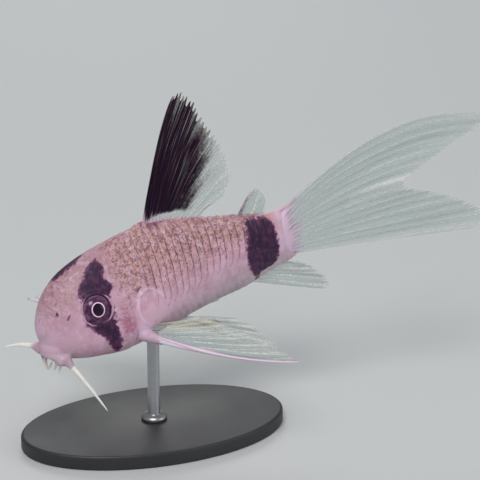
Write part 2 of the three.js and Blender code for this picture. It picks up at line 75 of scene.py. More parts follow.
def through(keys):
    """A smooth curve through rows of [place, value, ...]."""
    rows = np.array(keys, float)
    place, value = rows[:, 0], rows[:, 1:]
    before, after = np.maximum(np.arange(len(rows)) - 1, 0), np.arange(len(rows)) + 1
    after = np.minimum(after, len(rows) - 1)
    slopes = (value[after] - value[before]) / (place[after] - place[before])[:, None]

    def curve(at):
        at = np.asarray(at, float)
        i = np.clip(np.searchsorted(place, at) - 1, 0, len(place) - 2)
        width = (place[i + 1] - place[i])[..., None]
        t = np.clip((at[..., None] - place[i][..., None]) / width, 0, 1)
        ease = t * t * (3 - 2 * t)
        made = value[i] + (value[i + 1] - value[i]) * ease
        made = made + t * (1 - t) ** 2 * width * slopes[i]
        made = made + t * t * (t - 1) * width * slopes[i + 1]
        return made[..., 0] if value.shape[1] == 1 else made

    return curve


def rise(value, low, high):
    """A smooth step from 0 to 1 between two values."""
    t = np.clip((value - low) / (high - low), 0, 1)
    return t * t * (3 - 2 * t)


def fall(value, low, high):
    return 1 - rise(value, low, high)


def lerp(a, b, t):
    return a + (b - a) * t


def bump(value, middle, width):
    return np.exp(-(((value - middle) / width) ** 2))


def signed_power(value, power):
    return np.sign(value) * np.abs(value) ** power


def unit(vectors):
    return vectors / np.maximum(np.linalg.norm(vectors, axis=-1, keepdims=True), 1e-9)


def arc(start, pull, end, t):
    """Points of the curve that leaves start towards pull and comes to the end from it."""
    return start * (1 - t) ** 2 + pull * 2 * t * (1 - t) + end * t ** 2


def full_turn(count):
    return np.linspace(0, TURN, count, endpoint=False)


def stack(*parts):
    return np.stack(np.broadcast_arrays(*parts), axis=-1)


# Body sections: distance from the snout, back, belly, half width, height of the widest
# point, and the powers that make the back a ridge and the belly flat
SECTIONS = np.array([
    [0, 0.4, 0.4, 0, 0.4, 2, 2],
    [0.6, 2.4, -2.5, 1.6, -0.1, 2, 2.1],
    [2, 4.7, -4.2, 3, -0.4, 2, 2.3],
    [5, 7.1, -5.3, 4.8, -1.1, 1.95, 2.6],
    [9, 8.6, -5.95, 5.5, -1.7, 1.85, 2.7],
    [13, 9.4, -6.2, 5.7, -1.6, 1.7, 2.7],
    [17, 9.9, -5.9, 5.4, -1.0, 1.6, 2.5],
    [21, 9.9, -5.5, 4.9, -0.3, 1.6, 2.3],
    [25, 9.1, -5.1, 4.2, 0.3, 1.65, 2.2],
    [29, 8.0, -4.7, 3.5, 0.8, 1.75, 2],
    [33, 7.1, -4.2, 2.7, 1.2, 1.9, 2],
    [37, 6.15, -3.0, 1.85, 1.6, 2, 2],
    [40.6, 5.5, -1.9, 1.25, 1.8, 2, 2],
])
_profile = through(np.column_stack([np.sqrt(SECTIONS[:, 0]), SECTIONS[:, 1:]]))


def section(x):
    """Back, belly, half width, widest height, roof power and floor power at a distance."""
    return np.moveaxis(_profile(np.sqrt(np.maximum(x, 0))), -1, 0)


def bare_skin(x, angle):
    """The skin at a distance from the snout and an angle from the back, left side first."""
    x, angle = np.broadcast_arrays(np.asarray(x, float), np.asarray(angle, float))
    back, belly, half, widest, roof, floor = section(x)
    up = np.cos(angle) >= 0
    roundness = 2 / np.where(up, roof, floor)
    reach = np.where(up, back - widest, widest - belly)
    y = LEFT * half * signed_power(np.sin(angle), roundness)
    return stack(x, y, widest + reach * signed_power(np.cos(angle), roundness))


def skin(x, angle, lift=0.0):
    step = 0.04
    around = bare_skin(x, angle + step) - bare_skin(x, angle - step)
    along = bare_skin(x + step, angle) - bare_skin(np.maximum(x - step, 0), angle)
    normal = unit(np.cross(around, along))
    return bare_skin(x, angle) + normal * np.asarray(lift)[..., None], normal


def evened(x, z):
    """A height as the cosine of the angle at which the skin has it, and half its power."""
    back, belly, _, widest, roof, floor = section(x)
    up = z >= widest
    half_power = np.where(up, roof, floor) / 2
    reach = np.where(up, back - widest, widest - belly)
    return signed_power(np.clip((z - widest) / reach, -1, 1), half_power), half_power


def angle_of(points):
    """The angle from the back at which a point lies, the same on both sides."""
    x, y, z = np.moveaxis(points, -1, 0)
    high, half_power = evened(x, z)
    out = np.clip(np.abs(y) / np.maximum(section(x)[2], 1e-3), 0, 1.2) ** half_power
    return np.arctan2(out, high)


def angle_at(x, z):
    """The angle at which the skin of the left side has a height."""
    return np.arccos(evened(x, z)[0])


def round_body(sizes, angle):
    """A value that goes from top through side to bottom round the body."""
    share = np.sin(angle) ** 2
    return lerp(np.where(np.cos(angle) > 0, sizes["top"], sizes["bottom"]), sizes["side"], share)


# From the straight fish to the posed one

def bend(points):
    rate = (TAIL_TURN - HEAD_TURN) / (BEND_TO - BEND_FROM)
    x, y, z = np.moveaxis(np.asarray(points, float), -1, 0)
    curved = np.clip(x, BEND_FROM, BEND_TO)
    turned = HEAD_TURN + rate * (curved - BEND_FROM)
    ahead = (np.sin(turned) - math.sin(HEAD_TURN)) / rate + BEND_FROM * math.cos(HEAD_TURN)
    aside = (math.cos(HEAD_TURN) - np.cos(turned)) / rate + BEND_FROM * math.sin(HEAD_TURN)
    ahead = ahead + (x - curved) * np.cos(turned) - np.sin(turned) * y
    aside = aside + (x - curved) * np.sin(turned) + np.cos(turned) * y
    return stack(ahead, aside, z)


def pitch(points):
    x, y, z = np.moveaxis(points, -1, 0)
    c, s = math.cos(NOSE_DOWN), math.sin(NOSE_DOWN)
    return stack(c * x - s * z, y, s * x + c * z)


PERCH = pitch(bend(np.array([ROD_AT, 0, float(section(ROD_AT)[1])])))


def to_world(points):
    return (pitch(bend(points)) - PERCH + np.array([0, 0, BELLY_HEIGHT])) * MM


# Mesh making

def grid_faces(rows, columns, around=False):
    """Quads between rows of points, closing each row on itself if around."""
    r, c = np.mgrid[0:rows - 1, 0:columns if around else columns - 1]
    here, beside = r * columns + c, r * columns + (c + 1) % columns
    return np.stack([here, beside, beside + columns, here + columns], axis=-1).reshape(-1, 4)


def mesh_object(name, points, faces):
    mesh = bpy.data.meshes.new(name)
    mesh.from_pydata(np.asarray(points).tolist(), [], [list(map(int, f)) for f in faces])
    mesh.validate()
    mesh.polygons.foreach_set("use_smooth", [True] * len(mesh.polygons))
    made = bpy.data.objects.new(name, mesh)
    bpy.context.scene.collection.objects.link(made)
    return made


def keep(made, name, values):
    """Stores a value, or a point, on each vertex for the materials to read."""
    values = np.asarray(values, np.float32)
    kind, field = ("FLOAT", "value") if values.ndim == 1 else ("FLOAT_VECTOR", "vector")
    made.data.attributes.new(name, kind, "POINT").data.foreach_set(field, values.ravel())


def dressed(made, material, slot, nodes):
    """Gives a piece its material, hangs it under the root, and hides the solids it stands for."""
    made.data.materials.append(material)
    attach(made, "root")
    if nodes:
        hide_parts(*nodes)


def fish_piece(name, points, faces, material, slot, nodes=(), unwrap=None, **values):
    """A piece of the fish from points of the straight fish, in its place and posed."""
    made = mesh_object(name, to_world(points), faces)
    keep(made, "fish", points)
    for key, value in values.items():
        keep(made, key, value)
    if unwrap is not None:
        layer = made.data.uv_layers.new(name="OFBake")
        layer.data.foreach_set("uv", np.asarray(unwrap, np.float32).ravel())
    dressed(made, material, slot, nodes)


def sheet_pair(rows, columns, share):
    """Faces of a thin closed body from two grids of points, and each corner on its unwrap.

    The first grid takes that share of the unwrap's height and the second the rest.
    """
    count = rows * columns
    loop = [*range(columns), *(r * columns + columns - 1 for r in range(1, rows)),
            *((rows - 1) * columns + c for c in range(columns - 2, -1, -1)),
            *(r * columns for r in range(rows - 2, 0, -1))]
    rim = np.array([[b, a, a + count, b + count] for a, b in zip(loop, loop[1:] + loop[:1])])
    near = grid_faces(rows, columns)
    far = near[:, ::-1]
    down, along = np.mgrid[0:1:rows * 1j, 0:1:columns * 1j]
    square = np.column_stack([along.ravel(), down.ravel()])
    shown = square * (0.92, share - 0.06) + (0.04, 0.03)
    hidden = square * (0.92, 0.95 - share) + (0.04, share + 0.02)
    wider = square * (0.96, share - 0.03) + (0.02, 0.015)
    b, a = rim[:, 0], rim[:, 1]
    rim_at = np.stack([shown[b], shown[a], wider[a], wider[b]], axis=1)
    unwrap = np.concatenate([shown[near], hidden[far], rim_at])
    return np.concatenate([near, far + count, rim]), unwrap


# A direction that no tube runs along
ASLANT = np.array([0.12, 1.0, 0.05])


def tube(path, radius, sides):
    """A closed tube along a path, its radius given at each point of it."""
    turn = full_turn(sides)
    along = unit(np.gradient(path, axis=0))
    across = unit(np.cross(ASLANT, along))
    up = np.cross(along, across)
    radius = np.asarray(radius).reshape(-1, 1)
    return loft(path[:, None, :] + (radius * np.cos(turn))[..., None] * across[:, None, :]
                + (radius * np.sin(turn))[..., None] * up[:, None, :])


def loft(rings):
    """Points and faces of a closed surface through rings, with a middle point at each end."""
    rings = np.asarray(rings)
    rows, count, _ = rings.shape
    points = np.vstack([rings.reshape(-1, 3), rings[0].mean(0), rings[-1].mean(0)])
    faces = [list(f) for f in grid_faces(rows, count, around=True)]
    last = (rows - 1) * count
    for side in range(count):
        nxt = (side + 1) % count
        faces.append([rows * count, nxt, side])
        faces.append([rows * count + 1, last + side, last + nxt])
    return points, faces


def vertex_normals(points, faces):
    a, b, c, d = (points[faces[:, i]] for i in range(4))
    normal = np.cross(c - a, d - b)
    total = np.zeros_like(points)
    for i in range(4):
        np.add.at(total, faces[:, i], normal)
    return unit(total)


# Places on the flank

def flank_place(x, z):
    """The place on the left flank at a distance and height, and its outward direction."""
    return skin(np.array(x, float), angle_at(x, z))


def spot(points, x, z, size, lean=0.0):
    """Distance from a flank spot of both sides, 1 on the edge of an oval of that size."""
    place, normal = flank_place(x, z)
    along = unit(np.array([1.0, 0, 0]) - normal[0] * normal)
    up = np.cross(along, normal)
    up = up * np.sign(up[2])
    # Points of the right side are carried over to the left one
    away = np.column_stack([points[:, 0], -np.abs(points[:, 1]), points[:, 2]]) - place
    u, v, depth = away @ along, away @ up, away @ normal
    c, s = math.cos(lean), math.sin(lean)
    reach = np.hypot((u * c + v * s) / size[0], (v * c - u * s) / size[1])
    return np.where(depth > -3, reach, FAR)


def around_eye(points):
    """Distance from the middle of the eye, in millimetres."""
    return spot(points, EYE["x"], EYE["z"], (1, 1))


def over_shoulder(x, z):
    """1 above the slanting line where the shoulder bone's rim ends, 0 below it."""
    return rise(z + 0.6 * (SHOULDER_SPOT[0] - x), -2.6, 0.6)


# Ovals on the flank: distance from the snout, height, half length and height, and lean
NOSTRILS = ((2.45, 2.7, (0.2, 0.4), -0.1), (3.62, 2.1, (0.15, 0.5), -0.75))
NOSTRIL_FLAP = (3.2, 2.6, (0.5, 0.55), 0.0)
GILL_SPOT = (11.35, -1.1, (1.25, 2.6), 0.12)
SHOULDER_SPOT = (15.9, -0.4, (2.35, 3.0), 0.25)
FIN_ROOT_SPOT = (14.0, -3.6, (2.2, 1.6), 0.1)
CHEEK_SPOT = (5.6, -2.4, (2.9, 2.3), -0.2)
SMUDGE_SPOT = (14.2, 2.9, (1.0, 0.65), 0.4)
# How far from the eye's middle the rim of its lid lies
EYELID = 2.26

# Markings of the skin. Each edge is (height, distance from the snout)

mask_front = through([
    (-5.2, 9.4), (-4.6, 8.9), (-3.4, 8.3), (-2.2, 7.9), (-1.2, 7.0), (-0.5, 6.4), (0.5, 5.7),
    (1.5, 5.5), (2.9, 5.9), (4.7, 5.9), (5.4, 6.2), (6.5, 7.3), (7.2, 8.1), (7.7, 8.9), (8.1, 9.9),
])
mask_rear = through([
    (-5.2, 9.5), (-4.3, 9.8), (-3.1, 10.1), (-1.5, 9.9), (0.5, 9.6), (1.8, 9.9), (3.0, 9.8),
    (3.7, 10.0), (4.4, 10.7), (5.0, 10.5), (5.8, 10.0), (6.5, 10.2), (7.3, 10.6), (8.1, 10.2),
])
blotch_front = through([(-2.6, 34.4), (-1.8, 33.8), (-0.3, 33.3), (3.2, 33.6), (6.2, 34.4)])
blotch_rear = through([
    (-2.6, 34.8), (-2.1, 35.6), (-1.7, 37.3), (-0.7, 38.3), (1.5, 38.7), (4.4, 38.4), (5.6, 37.6),
])
MASK_FOOT, MASK_TOP, BLOTCH_TOP = -5.0, 8.2, 0.42
# The crown's patch: its ends, its middle and half length, and how far it reaches down the sides
CROWN = {"from": 4.2, "to": 9.2, "middle": 6.5, "half": 2.5, "left": 0.12, "right": 0.62}


def dark_marks(points):
    """Millimetres inside the edge of the eye mask, crown patch or tail blotch, and painted nostril
    shade.
    """
    x, y, z = points.T
    angle = angle_of(points)
    lean = angle * np.sign(y)
    mask = np.minimum(x - mask_front(z), mask_rear(z) - x)
    mask = np.minimum(mask, np.minimum(z - MASK_FOOT, MASK_TOP - z))
    left = CROWN["left"] * (1 - ((x - CROWN["middle"]) / CROWN["half"]) ** 2) - 0.02
    crown = np.minimum(x - CROWN["from"], CROWN["to"] - x)
    crown = np.minimum(crown, 4 * np.minimum(lean + left, CROWN["right"] - lean))
    blotch = np.minimum(x - blotch_front(z), blotch_rear(z) - x)
    blotch = np.minimum(blotch, (angle - BLOTCH_TOP) * 2)
    # A pale ring of skin shows round the eye, and its front corner is clear
    ring = around_eye(points)
    behind = rise(x - EYE["x"] - (z - EYE["z"]) * 0.9, -1.6, 0.4)
    mask = mask - (0.5 + 0.8 * behind) * bump(ring, EYELID, 0.1)
    # The nostrils' pits are darkened a little, as painted shade inside them
    nostril_shade = np.maximum(1 - spot(points, *NOSTRILS[0]), 1 - spot(points, *NOSTRILS[1]))
    return np.maximum.reduce([mask, crown, blotch, 0.35 * np.clip(nostril_shade, -3, 1) - 0.26])


def smudges(points):
    """Soft half-dark places: the shoulder's top, the crown, and the roots of two back fins."""
    x = points[:, 0]
    angle = angle_of(points)
    shoulder = 0.75 * fall(spot(points, *SMUDGE_SPOT), 0.3, 1.1)
    dorsal = 0.7 * bump(x, 20.8, 1.5) * fall(angle, 0.2, 0.6)
    adipose = 0.8 * bump(x, 32.8, 0.9) * fall(angle, 0.1, 0.6)
    crown = 0.3 * bump(x, 4.5, 2.5) * fall(angle, 0.3, 1.0)
    return np.maximum.reduce([shoulder, dorsal, adipose, crown])


def tones(points):
    """The skin's own colour, before its pigment cells: coats of colour laid one on another."""
    x, y, z = points.T
    height = np.cos(angle_of(points))
    head = fall(x, 10.5, 13.5)
    muzzle = fall(x, 2.6, 4.6) * fall(z, -3.8, -1.8)
    hanging = fall(z, -6.5, -4.6) * fall(x, 4.2, 5.2)
    reaching = rise(np.abs(y), 2.6, 3.9) * fall(x, 1.0, 2.0) * (z < -1.5)
    shoulder_rim = over_shoulder(x, z) * bump(spot(points, *SHOULDER_SPOT), 1.0, 0.1)
    fin_root = fall(spot(points, *FIN_ROOT_SPOT), 0.5, 1.15) * rise(x, 11.9, 12.6)
    coats = (
        ("back", rise(height, 0.1, 0.75)),
        ("low", rise(-height, -0.25, 0.25)),
        ("belly", rise(-height, 0.2, 0.85)),
        ("head", head * 0.85),
        ("crown", head * rise(height, 0.45, 0.9) * 0.8),
        ("snout", 0.7 * fall(x, 0.2, 2.0) * rise(z, -3, -1)),
        ("lips", 0.85 * muzzle),
        ("barbel", 0.85 * np.maximum(hanging, reaching)),
        ("ring", 0.85 * shoulder_rim * rise(x, 12.6, 13.2)),
        ("lilac", 0.9 * fin_root),
        ("gill", 0.16 * fall(spot(points, *GILL_SPOT), 0.35, 1.05)),
        ("lilac", 0.75 * rise(x, 38.2, 39.8)),
        ("eye_edge", 0.7 * bump(around_eye(points), EYELID, 0.14)),
    )
    tone = np.tile(np.array(COLOURS["flank"]), (len(points), 1))
    for name, amount in coats:
        tone = lerp(tone, np.array(COLOURS[name]), np.clip(amount, 0, 1)[:, None])
    return tone


def skin_values(points):
    """What the skin's material reads at each point."""
    x = points[:, 0]
    height = np.cos(angle_of(points))
    flank = rise(x, 9.5, 13) * fall(x, 36, 38)
    shoulder = fall(spot(points, *SHOULDER_SPOT), 0.7, 1.2)
    freckled = rise(height, -0.1, 0.75) * flank * (1 - 0.8 * shoulder)
    crown = 0.45 * rise(height, 0.3, 0.8) * fall(x, 9, 13)
    gill = np.clip(1 - spot(points, *GILL_SPOT) / 1.5, 0, 1)
    return {
        "tone": tones(points),
        "dark": dark_marks(points),
        "smudge": smudges(points),
        "freckled": np.maximum(freckled, crown),
        "wet": gill,
    }


# Shader helpers

class Shader:
    """Builds one material's nodes from short calls."""

    def __init__(self, name):
        self.material = bpy.data.materials.new(name)
        self.material.use_nodes = True
        self.tree = self.material.node_tree
        self.bsdf = self.tree.nodes["Principled BSDF"]

    def node(self, kind, inputs=(), out=0, **settings):
        made = self.tree.nodes.new(kind)
        for key, value in settings.items():
            setattr(made, key, value)
        for socket, value in dict(inputs).items():
            self.feed(made.inputs[socket], value)
        return made.outputs[out]

    def feed(self, socket, value):
        """Links another node's output, or sets a number or one of the named colours."""
        if isinstance(value, bpy.types.NodeSocket):
            self.tree.links.new(value, socket)
        elif isinstance(value, str):
            socket.default_value = (*COLOURS[value], 1)
        else:
            socket.default_value = value

    def read(self, name, out=2):
        return self.node("ShaderNodeAttribute", out=out, attribute_name=name)

    def point(self, name="fish"):
        return self.read(name, 1)

    def math(self, operation, a, b=0.0, c=0.0, **settings):
        return self.node("ShaderNodeMath", {0: a, 1: b, 2: c}, operation=operation, **settings)

    def times(self, a, b):
        return self.math("MULTIPLY", a, b)

    def plus(self, a, b):
        return self.math("ADD", a, b)

    def most(self, a, b, **settings):
        return self.math("MAXIMUM", a, b, **settings)

    def fit(self, value, scale, shift):
        return self.math("MULTIPLY_ADD", value, scale, shift)

    def ramp(self, value, low, high, to_low=0.0, to_high=1.0):
        sockets = {0: value, 1: low, 2: high, 3: to_low, 4: to_high}
        return self.node("ShaderNodeMapRange", sockets, interpolation_type="SMOOTHSTEP")

    def noise(self, vector, scale, detail=3.0, rough=0.5):
        sockets = {"Vector": vector, "Scale": scale, "Detail": detail, "Roughness": rough}
        return self.node("ShaderNodeTexNoise", sockets)

    def cells(self, vector, scale, feature="F1"):
        return self.node("ShaderNodeTexVoronoi", {"Vector": vector, "Scale": scale}, feature=feature)

    def mix(self, share, a, b):
        made = self.tree.nodes.new("ShaderNodeMix")
        made.data_type = "RGBA"
        self.feed(made.inputs[0], share)
        self.feed(made.inputs[6], a)
        self.feed(made.inputs[7], b)
        return made.outputs[2]

    def coat(self, share, colour):
        """Lays a colour over the material's own by a share."""
        self.base = self.mix(share, self.base, colour)

    def nudged(self, point, shift):
        """The same places pushed a little out of line, to make straight patterns crooked."""
        moved = self.node("ShaderNodeCombineXYZ", {0: shift, 1: shift, 2: shift})
        return self.node("ShaderNodeVectorMath", {0: point, 1: moved}, operation="ADD")

    def scaled(self, vector, sizes):
        return self.node("ShaderNodeVectorMath", {0: vector, 1: sizes}, operation="MULTIPLY")

    def bumped(self, height, distance, strength=1.0):
        sockets = {"Height": height, "Distance": distance, "Strength": strength}
        self.feed(self.bsdf.inputs["Normal"], self.node("ShaderNodeBump", sockets))

    def set(self, **inputs):
        for name, value in inputs.items():
            self.feed(self.bsdf.inputs[name.replace("_", " ")], value)


def linear(value):
    """A screen value of 0 to 255 as light."""
    return ((value / 255 + 0.055) / 1.055) ** 2.4 if value > 10 else value / 3294.6


SCREEN_COLOURS = {
    "flank": (214, 170, 192),
    "back": (196, 150, 152),
    "low": (206, 170, 188),
    "belly": (202, 184, 190),
    "head": (200, 160, 182),
    "crown": (172, 132, 142),
    "snout": (212, 184, 208),
    "lips": (186, 166, 180),
    "lilac": (216, 188, 214),
    "gill": (160, 82, 112),
    "mark": (40, 5, 48),
    "mark_edge": (98, 44, 88),
    "freckle": (112, 68, 76),
    "painted_golden_highlight": (212, 176, 158),
    "rim_pigment_and_shade": (84, 44, 58),
    "pupil": (28, 0, 30),
    "iris": (58, 18, 56),
    "iris_light": (104, 56, 98),
    "eye_edge": (158, 128, 156),
    "ray_white": (228, 218, 230),
    "spine_pink_band_and_highlight": (208, 178, 204),
    "ring": (240, 206, 236),
    "clear": (120, 154, 150),
    "clear_light": (168, 190, 190),
    "ray": (240, 236, 232),
    "fin_flesh": (214, 188, 206),
    "cream": (226, 212, 186),
    "fin_brown": (104, 76, 62),
    "fin_dark": (22, 4, 30),
    "barbel": (240, 238, 232),
    "stand": (36, 37, 40),
    "stand_light": (54, 55, 58),
    "steel": (196, 198, 202),
    "steel_dark": (150, 152, 156),
    "floor": (196, 199, 200),
}
COLOURS = {name: tuple(map(linear, rgb)) for name, rgb in SCREEN_COLOURS.items()}


def skin_material(name, plates=False):
    """Wet skin: its own tone, freckles of pigment cells, and the dark marks' ragged edges."""
    s = Shader(name)
    fish, freckled, wet = s.point(), s.read("freckled"), s.read("wet")
    fine = s.noise(fish, 2.6, 4, 0.6)
    cloud = s.noise(fish, 0.9, 4, 0.6)
    s.base = s.mix(s.ramp(s.noise(fish, 0.4, 2), 0.38, 0.66, 0, 0.45), s.point("tone"), "crown")
    s.coat(s.ramp(cloud, 0.48, 0.68, 0, 0.55), "snout")
    s.coat(s.ramp(fine, 0.5, 0.75, 0, 0.25), "snout")
    # On the back the skin is mottled, with golden highlights painted between its spots
    mottled = s.times(freckled, s.ramp(s.noise(fish, 1.9, 3, 0.65), 0.45, 0.62))
    s.coat(s.times(mottled, 0.45), "freckle")
    painted_golden_highlight = s.times(freckled, s.ramp(s.noise(fish, 2.9, 3, 0.6), 0.52, 0.66))
    s.coat(s.times(painted_golden_highlight, 0.45), "painted_golden_highlight")
    # Pigment cells are round dots, and join into crooked lines
    room = s.ramp(s.noise(fish, 0.8, 2), 0.35, 0.6, 0.5, 1)
    reach = s.times(s.times(freckled, room), 0.4)
    dots = s.ramp(s.math("SUBTRACT", reach, s.cells(fish, 2.7)), -0.1, 0.08, 0, 0.75)
    lines = s.ramp(s.cells(s.nudged(fish, fine), 1.3, "DISTANCE_TO_EDGE"), 0.02, 0.12, 1, 0)
    lines = s.times(lines, s.ramp(s.noise(fish, 1.6, 3, 0.6), 0.46, 0.6, 0, 0.75))
    lines = s.times(lines, freckled)
    s.coat(s.most(dots, lines), "freckle")
    if plates:
        # Rims: dotted pigment, with painted shade in the groove under each plate's rear edge
        beads = s.ramp(s.noise(fish, 2.1, 3, 0.6), 0.38, 0.56, 0.1, 1.0)
        rim = s.times(s.read("rim"), beads)
        s.coat(rim, "rim_pigment_and_shade")
    # Red shows through the thin skin over the gills, with bright wet specks painted on as highlights
    gill = s.plus(wet, s.fit(s.noise(fish, 1.5, 4, 0.7), 2.4, -1.2))
    gill = s.times(gill, s.ramp(wet, 0.0, 0.3))
    s.coat(s.ramp(gill, 0.25, 0.8, 0, 0.65), "gill")
    painted_wet_glints = s.times(s.ramp(s.noise(fish, 3.4, 3, 0.7), 0.58, 0.7), s.ramp(gill, 0.1, 0.5))
    s.coat(s.times(painted_wet_glints, 0.75), "lilac")
    ragged = s.fit(s.noise(fish, 1.5, 6, 0.72), 2.2, -1.1)
    soft = s.fit(s.noise(fish, 1.6, 3, 0.7), 1.6, -0.8)
    smudge = s.ramp(s.plus(s.read("smudge"), soft), 0.25, 0.8, 0, 0.7)
    s.coat(smudge, "mark_edge")
    depth = s.plus(s.read("dark"), ragged)
    s.coat(s.ramp(depth, -0.3, 0.1), "mark_edge")
    patchy = s.ramp(s.noise(fish, 1.2, 5, 0.7), 0.36, 0.56, 0.35, 1)
    s.coat(s.times(s.ramp(depth, 0.0, 0.45), patchy), "mark")
    rough = s.ramp(fine, 0.3, 0.75, 0.44, 0.62)
    rough = s.fit(wet, -0.22, rough)
    s.set(Base_Color=s.base, Roughness=rough, Specular_IOR_Level=0.35, Coat_Weight=0.12,
          Coat_Roughness=0.25, Subsurface_Weight=0.1, Subsurface_Scale=0.001)
    pores = s.times(s.cells(fish, 5.0), 0.3)
    wrinkles = s.times(wet, s.noise(fish, 2.2, 3, 0.6))
    height = s.plus(s.noise(fish, 3.4, 5, 0.6), pores)
    height = s.fit(lines, -0.6, height)
    s.bumped(s.fit(wrinkles, 4.0, height), 0.00006, 0.9)
    return s.material


def eye_material():
    """A dark pupil in a thin bright ring, a mottled iris, and a paler edge."""
    s = Shader("eye_wet")
    fish, ring = s.point(), s.read("ring")
    r = s.plus(ring, s.fit(s.noise(fish, 1.6, 3), 0.3, -0.15))
    iris = s.mix(s.ramp(s.noise(fish, 2.4, 4, 0.7), 0.42, 0.68), "iris", "iris_light")
    s.base = s.mix(s.ramp(ring, 0.8, 0.83), "pupil", "ring")
    s.coat(s.ramp(ring, 0.93, 1.0), iris)
    outer = s.times(s.ramp(r, 1.2, 1.75), s.ramp(s.noise(fish, 1.3, 3), 0.4, 0.65))
    s.coat(s.times(outer, 0.3), "eye_edge")
    s.coat(s.ramp(r, 1.8, 1.95, 0, 0.8), "eye_edge")
    s.set(Base_Color=s.base, Roughness=0.3, Specular_IOR_Level=0.15, Coat_Weight=0.7,
          Coat_Roughness=0.06, Coat_IOR=1.35)
    return s.material


def fin_material(name, clear, gloss):
    """A clear membrane on whiter rays, streaked along them; near the body it turns to skin."""
    s = Shader(name)
    fish, lie, ray, out = s.point(), s.point("lie"), s.read("ray"), s.read("out")
    grain = s.noise(fish, 3.0, 4, 0.65)
    streaks = s.noise(s.scaled(lie, (1.7, 1.1, 0)), 1.0, 4, 0.7)
    threads = s.ramp(s.noise(s.scaled(lie, (11, 1.4, 0)), 1.0, 3, 0.6), 0.5, 0.7)
    dashes = s.ramp(s.noise(s.scaled(lie, (2.5, 34, 0)), 1.0, 2), 0.38, 0.6, 0.55, 1)
    pale = s.most(s.times(ray, s.read("whiteness")), s.times(threads, 0.45))
    pale = s.times(pale, dashes)
    web = s.mix(s.ramp(streaks, 0.4, 0.7), "clear", "clear_light")
    s.base = s.mix(pale, web, "ray")
    alpha = s.fit(pale, 0.5, s.ramp(streaks, 0.3, 0.75, 0.7 * clear, 1.4 * clear))
    alpha = s.times(alpha, s.ramp(out, 0.75, 1.0, 1, 0.75))
    for stain, tint in (("cream", "cream"), ("brown", "fin_brown"), ("white", "ray")):
        share = s.times(s.read(stain), s.ramp(grain, 0.3, 0.65, 0.5, 1))
        s.coat(share, tint)
        alpha = s.most(alpha, s.times(share, 0.7))
    # The stout first ray is white outside, with a painted highlight as a pink line and a pink band
    # inside
    edge = s.read("edge")
    tubed = s.times(s.ramp(edge, 0.95, 1.15, 1, 0), s.read("stout"))
    pink_band_and_highlight = s.times(s.ramp(edge, 0.44, 0.52), s.ramp(edge, 0.6, 0.7, 1, 0))
    pink_band_and_highlight = s.most(pink_band_and_highlight, s.ramp(edge, 0.84, 0.96))
    s.coat(tubed, s.mix(pink_band_and_highlight, "ray_white", "spine_pink_band_and_highlight"))
    alpha = s.most(alpha, s.times(tubed, 0.9))
    # Dark pigment, and near the pectoral fins' roots a painted shadow
    dark = s.plus(s.read("pigment_and_shadow"), s.fit(streaks, 1.3, -0.65))
    dark = s.ramp(s.fit(grain, 0.5, dark), 0.34, 1.02)
    dark = s.times(dark, s.fit(threads, s.read("combed"), 1.0))
    s.coat(dark, "fin_dark")
    alpha = s.most(alpha, s.times(dark, 0.95))
    flesh = s.read("flesh")
    s.coat(flesh, s.mix(grain, "fin_flesh", "lilac"))
    alpha = s.most(alpha, flesh, use_clamp=True)
    s.set(Base_Color=s.base, Alpha=alpha, Roughness=s.ramp(grain, 0.3, 0.7, 0.42, 0.6),
          Specular_IOR_Level=gloss, Subsurface_Weight=0.1, Subsurface_Scale=0.001)
    s.bumped(s.plus(dashes, s.noise(fish, 6.0, 3)), 0.00003, 0.6)
    return s.material


def barbel_material():
    s = Shader("barbel_skin")
    fish, out = s.point(), s.read("out")
    grain = s.noise(fish, 5.0, 4, 0.6)
    s.base = s.mix(s.ramp(out, 0.0, 0.3, 0.7, 0), "barbel", "lips")
    s.coat(s.ramp(grain, 0.5, 0.8, 0, 0.35), "head")
    s.set(Base_Color=s.base, Roughness=s.ramp(grain, 0.3, 0.7, 0.36, 0.46), Coat_Weight=0.2,
          Coat_Roughness=0.2, Subsurface_Weight=0.15, Subsurface_Scale=0.001)
    s.bumped(grain, 0.00004, 0.8)
    return s.material


def stand_material():
    s = Shader("satin_black")
    place = s.node("ShaderNodeTexCoord", out=3)
    grain = s.noise(place, 2600, 3, 0.6)
    marks = s.noise(place, 60, 4, 0.6)
    s.base = s.mix(s.ramp(marks, 0.4, 0.75, 0, 0.5), "stand", "stand_light")
    s.set(Base_Color=s.base, Roughness=s.ramp(marks, 0.35, 0.7, 0.48, 0.58))
    s.bumped(grain, 0.00002, 0.5)
    return s.material


def steel_material():
    s = Shader("brushed_rod")
    place = s.node("ShaderNodeTexCoord", out=3)
    lines = s.noise(s.scaled(place, (180, 180, 9000)), 1.0, 2)
    s.base = s.mix(lines, "steel", "steel_dark")
    s.set(Base_Color=s.base, Metallic=1.0, Roughness=s.ramp(lines, 0.3, 0.7, 0.28, 0.42))
    s.bumped(lines, 0.00002, 0.4)
    return s.material


# Body skin: head, trunk and tail stalk in one

# Lumps melted into it, as middle and radii: the muzzle, the corners of the lips, the pectoral
# fins' bases and the dorsal fin's foot. Skin also runs up the tail fin's first ray
MUZZLE = (MOUTH["x"] + 0.7, 0, MOUTH["z"] + 1.2), (2.2, 2.65, 1.9)
LIP_CORNER = (MOUTH["x"] + 0.35, MOUTH["width"], MOUTH["z"] - 0.25), (1.0, 0.85, 0.95)
PECTORAL_BASE = (13.6, 4.3, -3.6), (2.0, 1.0, 1.25)
DORSAL_FOOT = (18.7, 0, 9.7), (1.5, 0.5, 0.75)
VOXEL = 0.13
BODY_RINGS, BODY_SIDES = 120, 96
STALK_END, WEDGE = 39.1, 2.5
TAIL_RAMP = ((36.4, 0, 5.55), (40.0, 0, 5.2), (42.9, 0, 7.1))


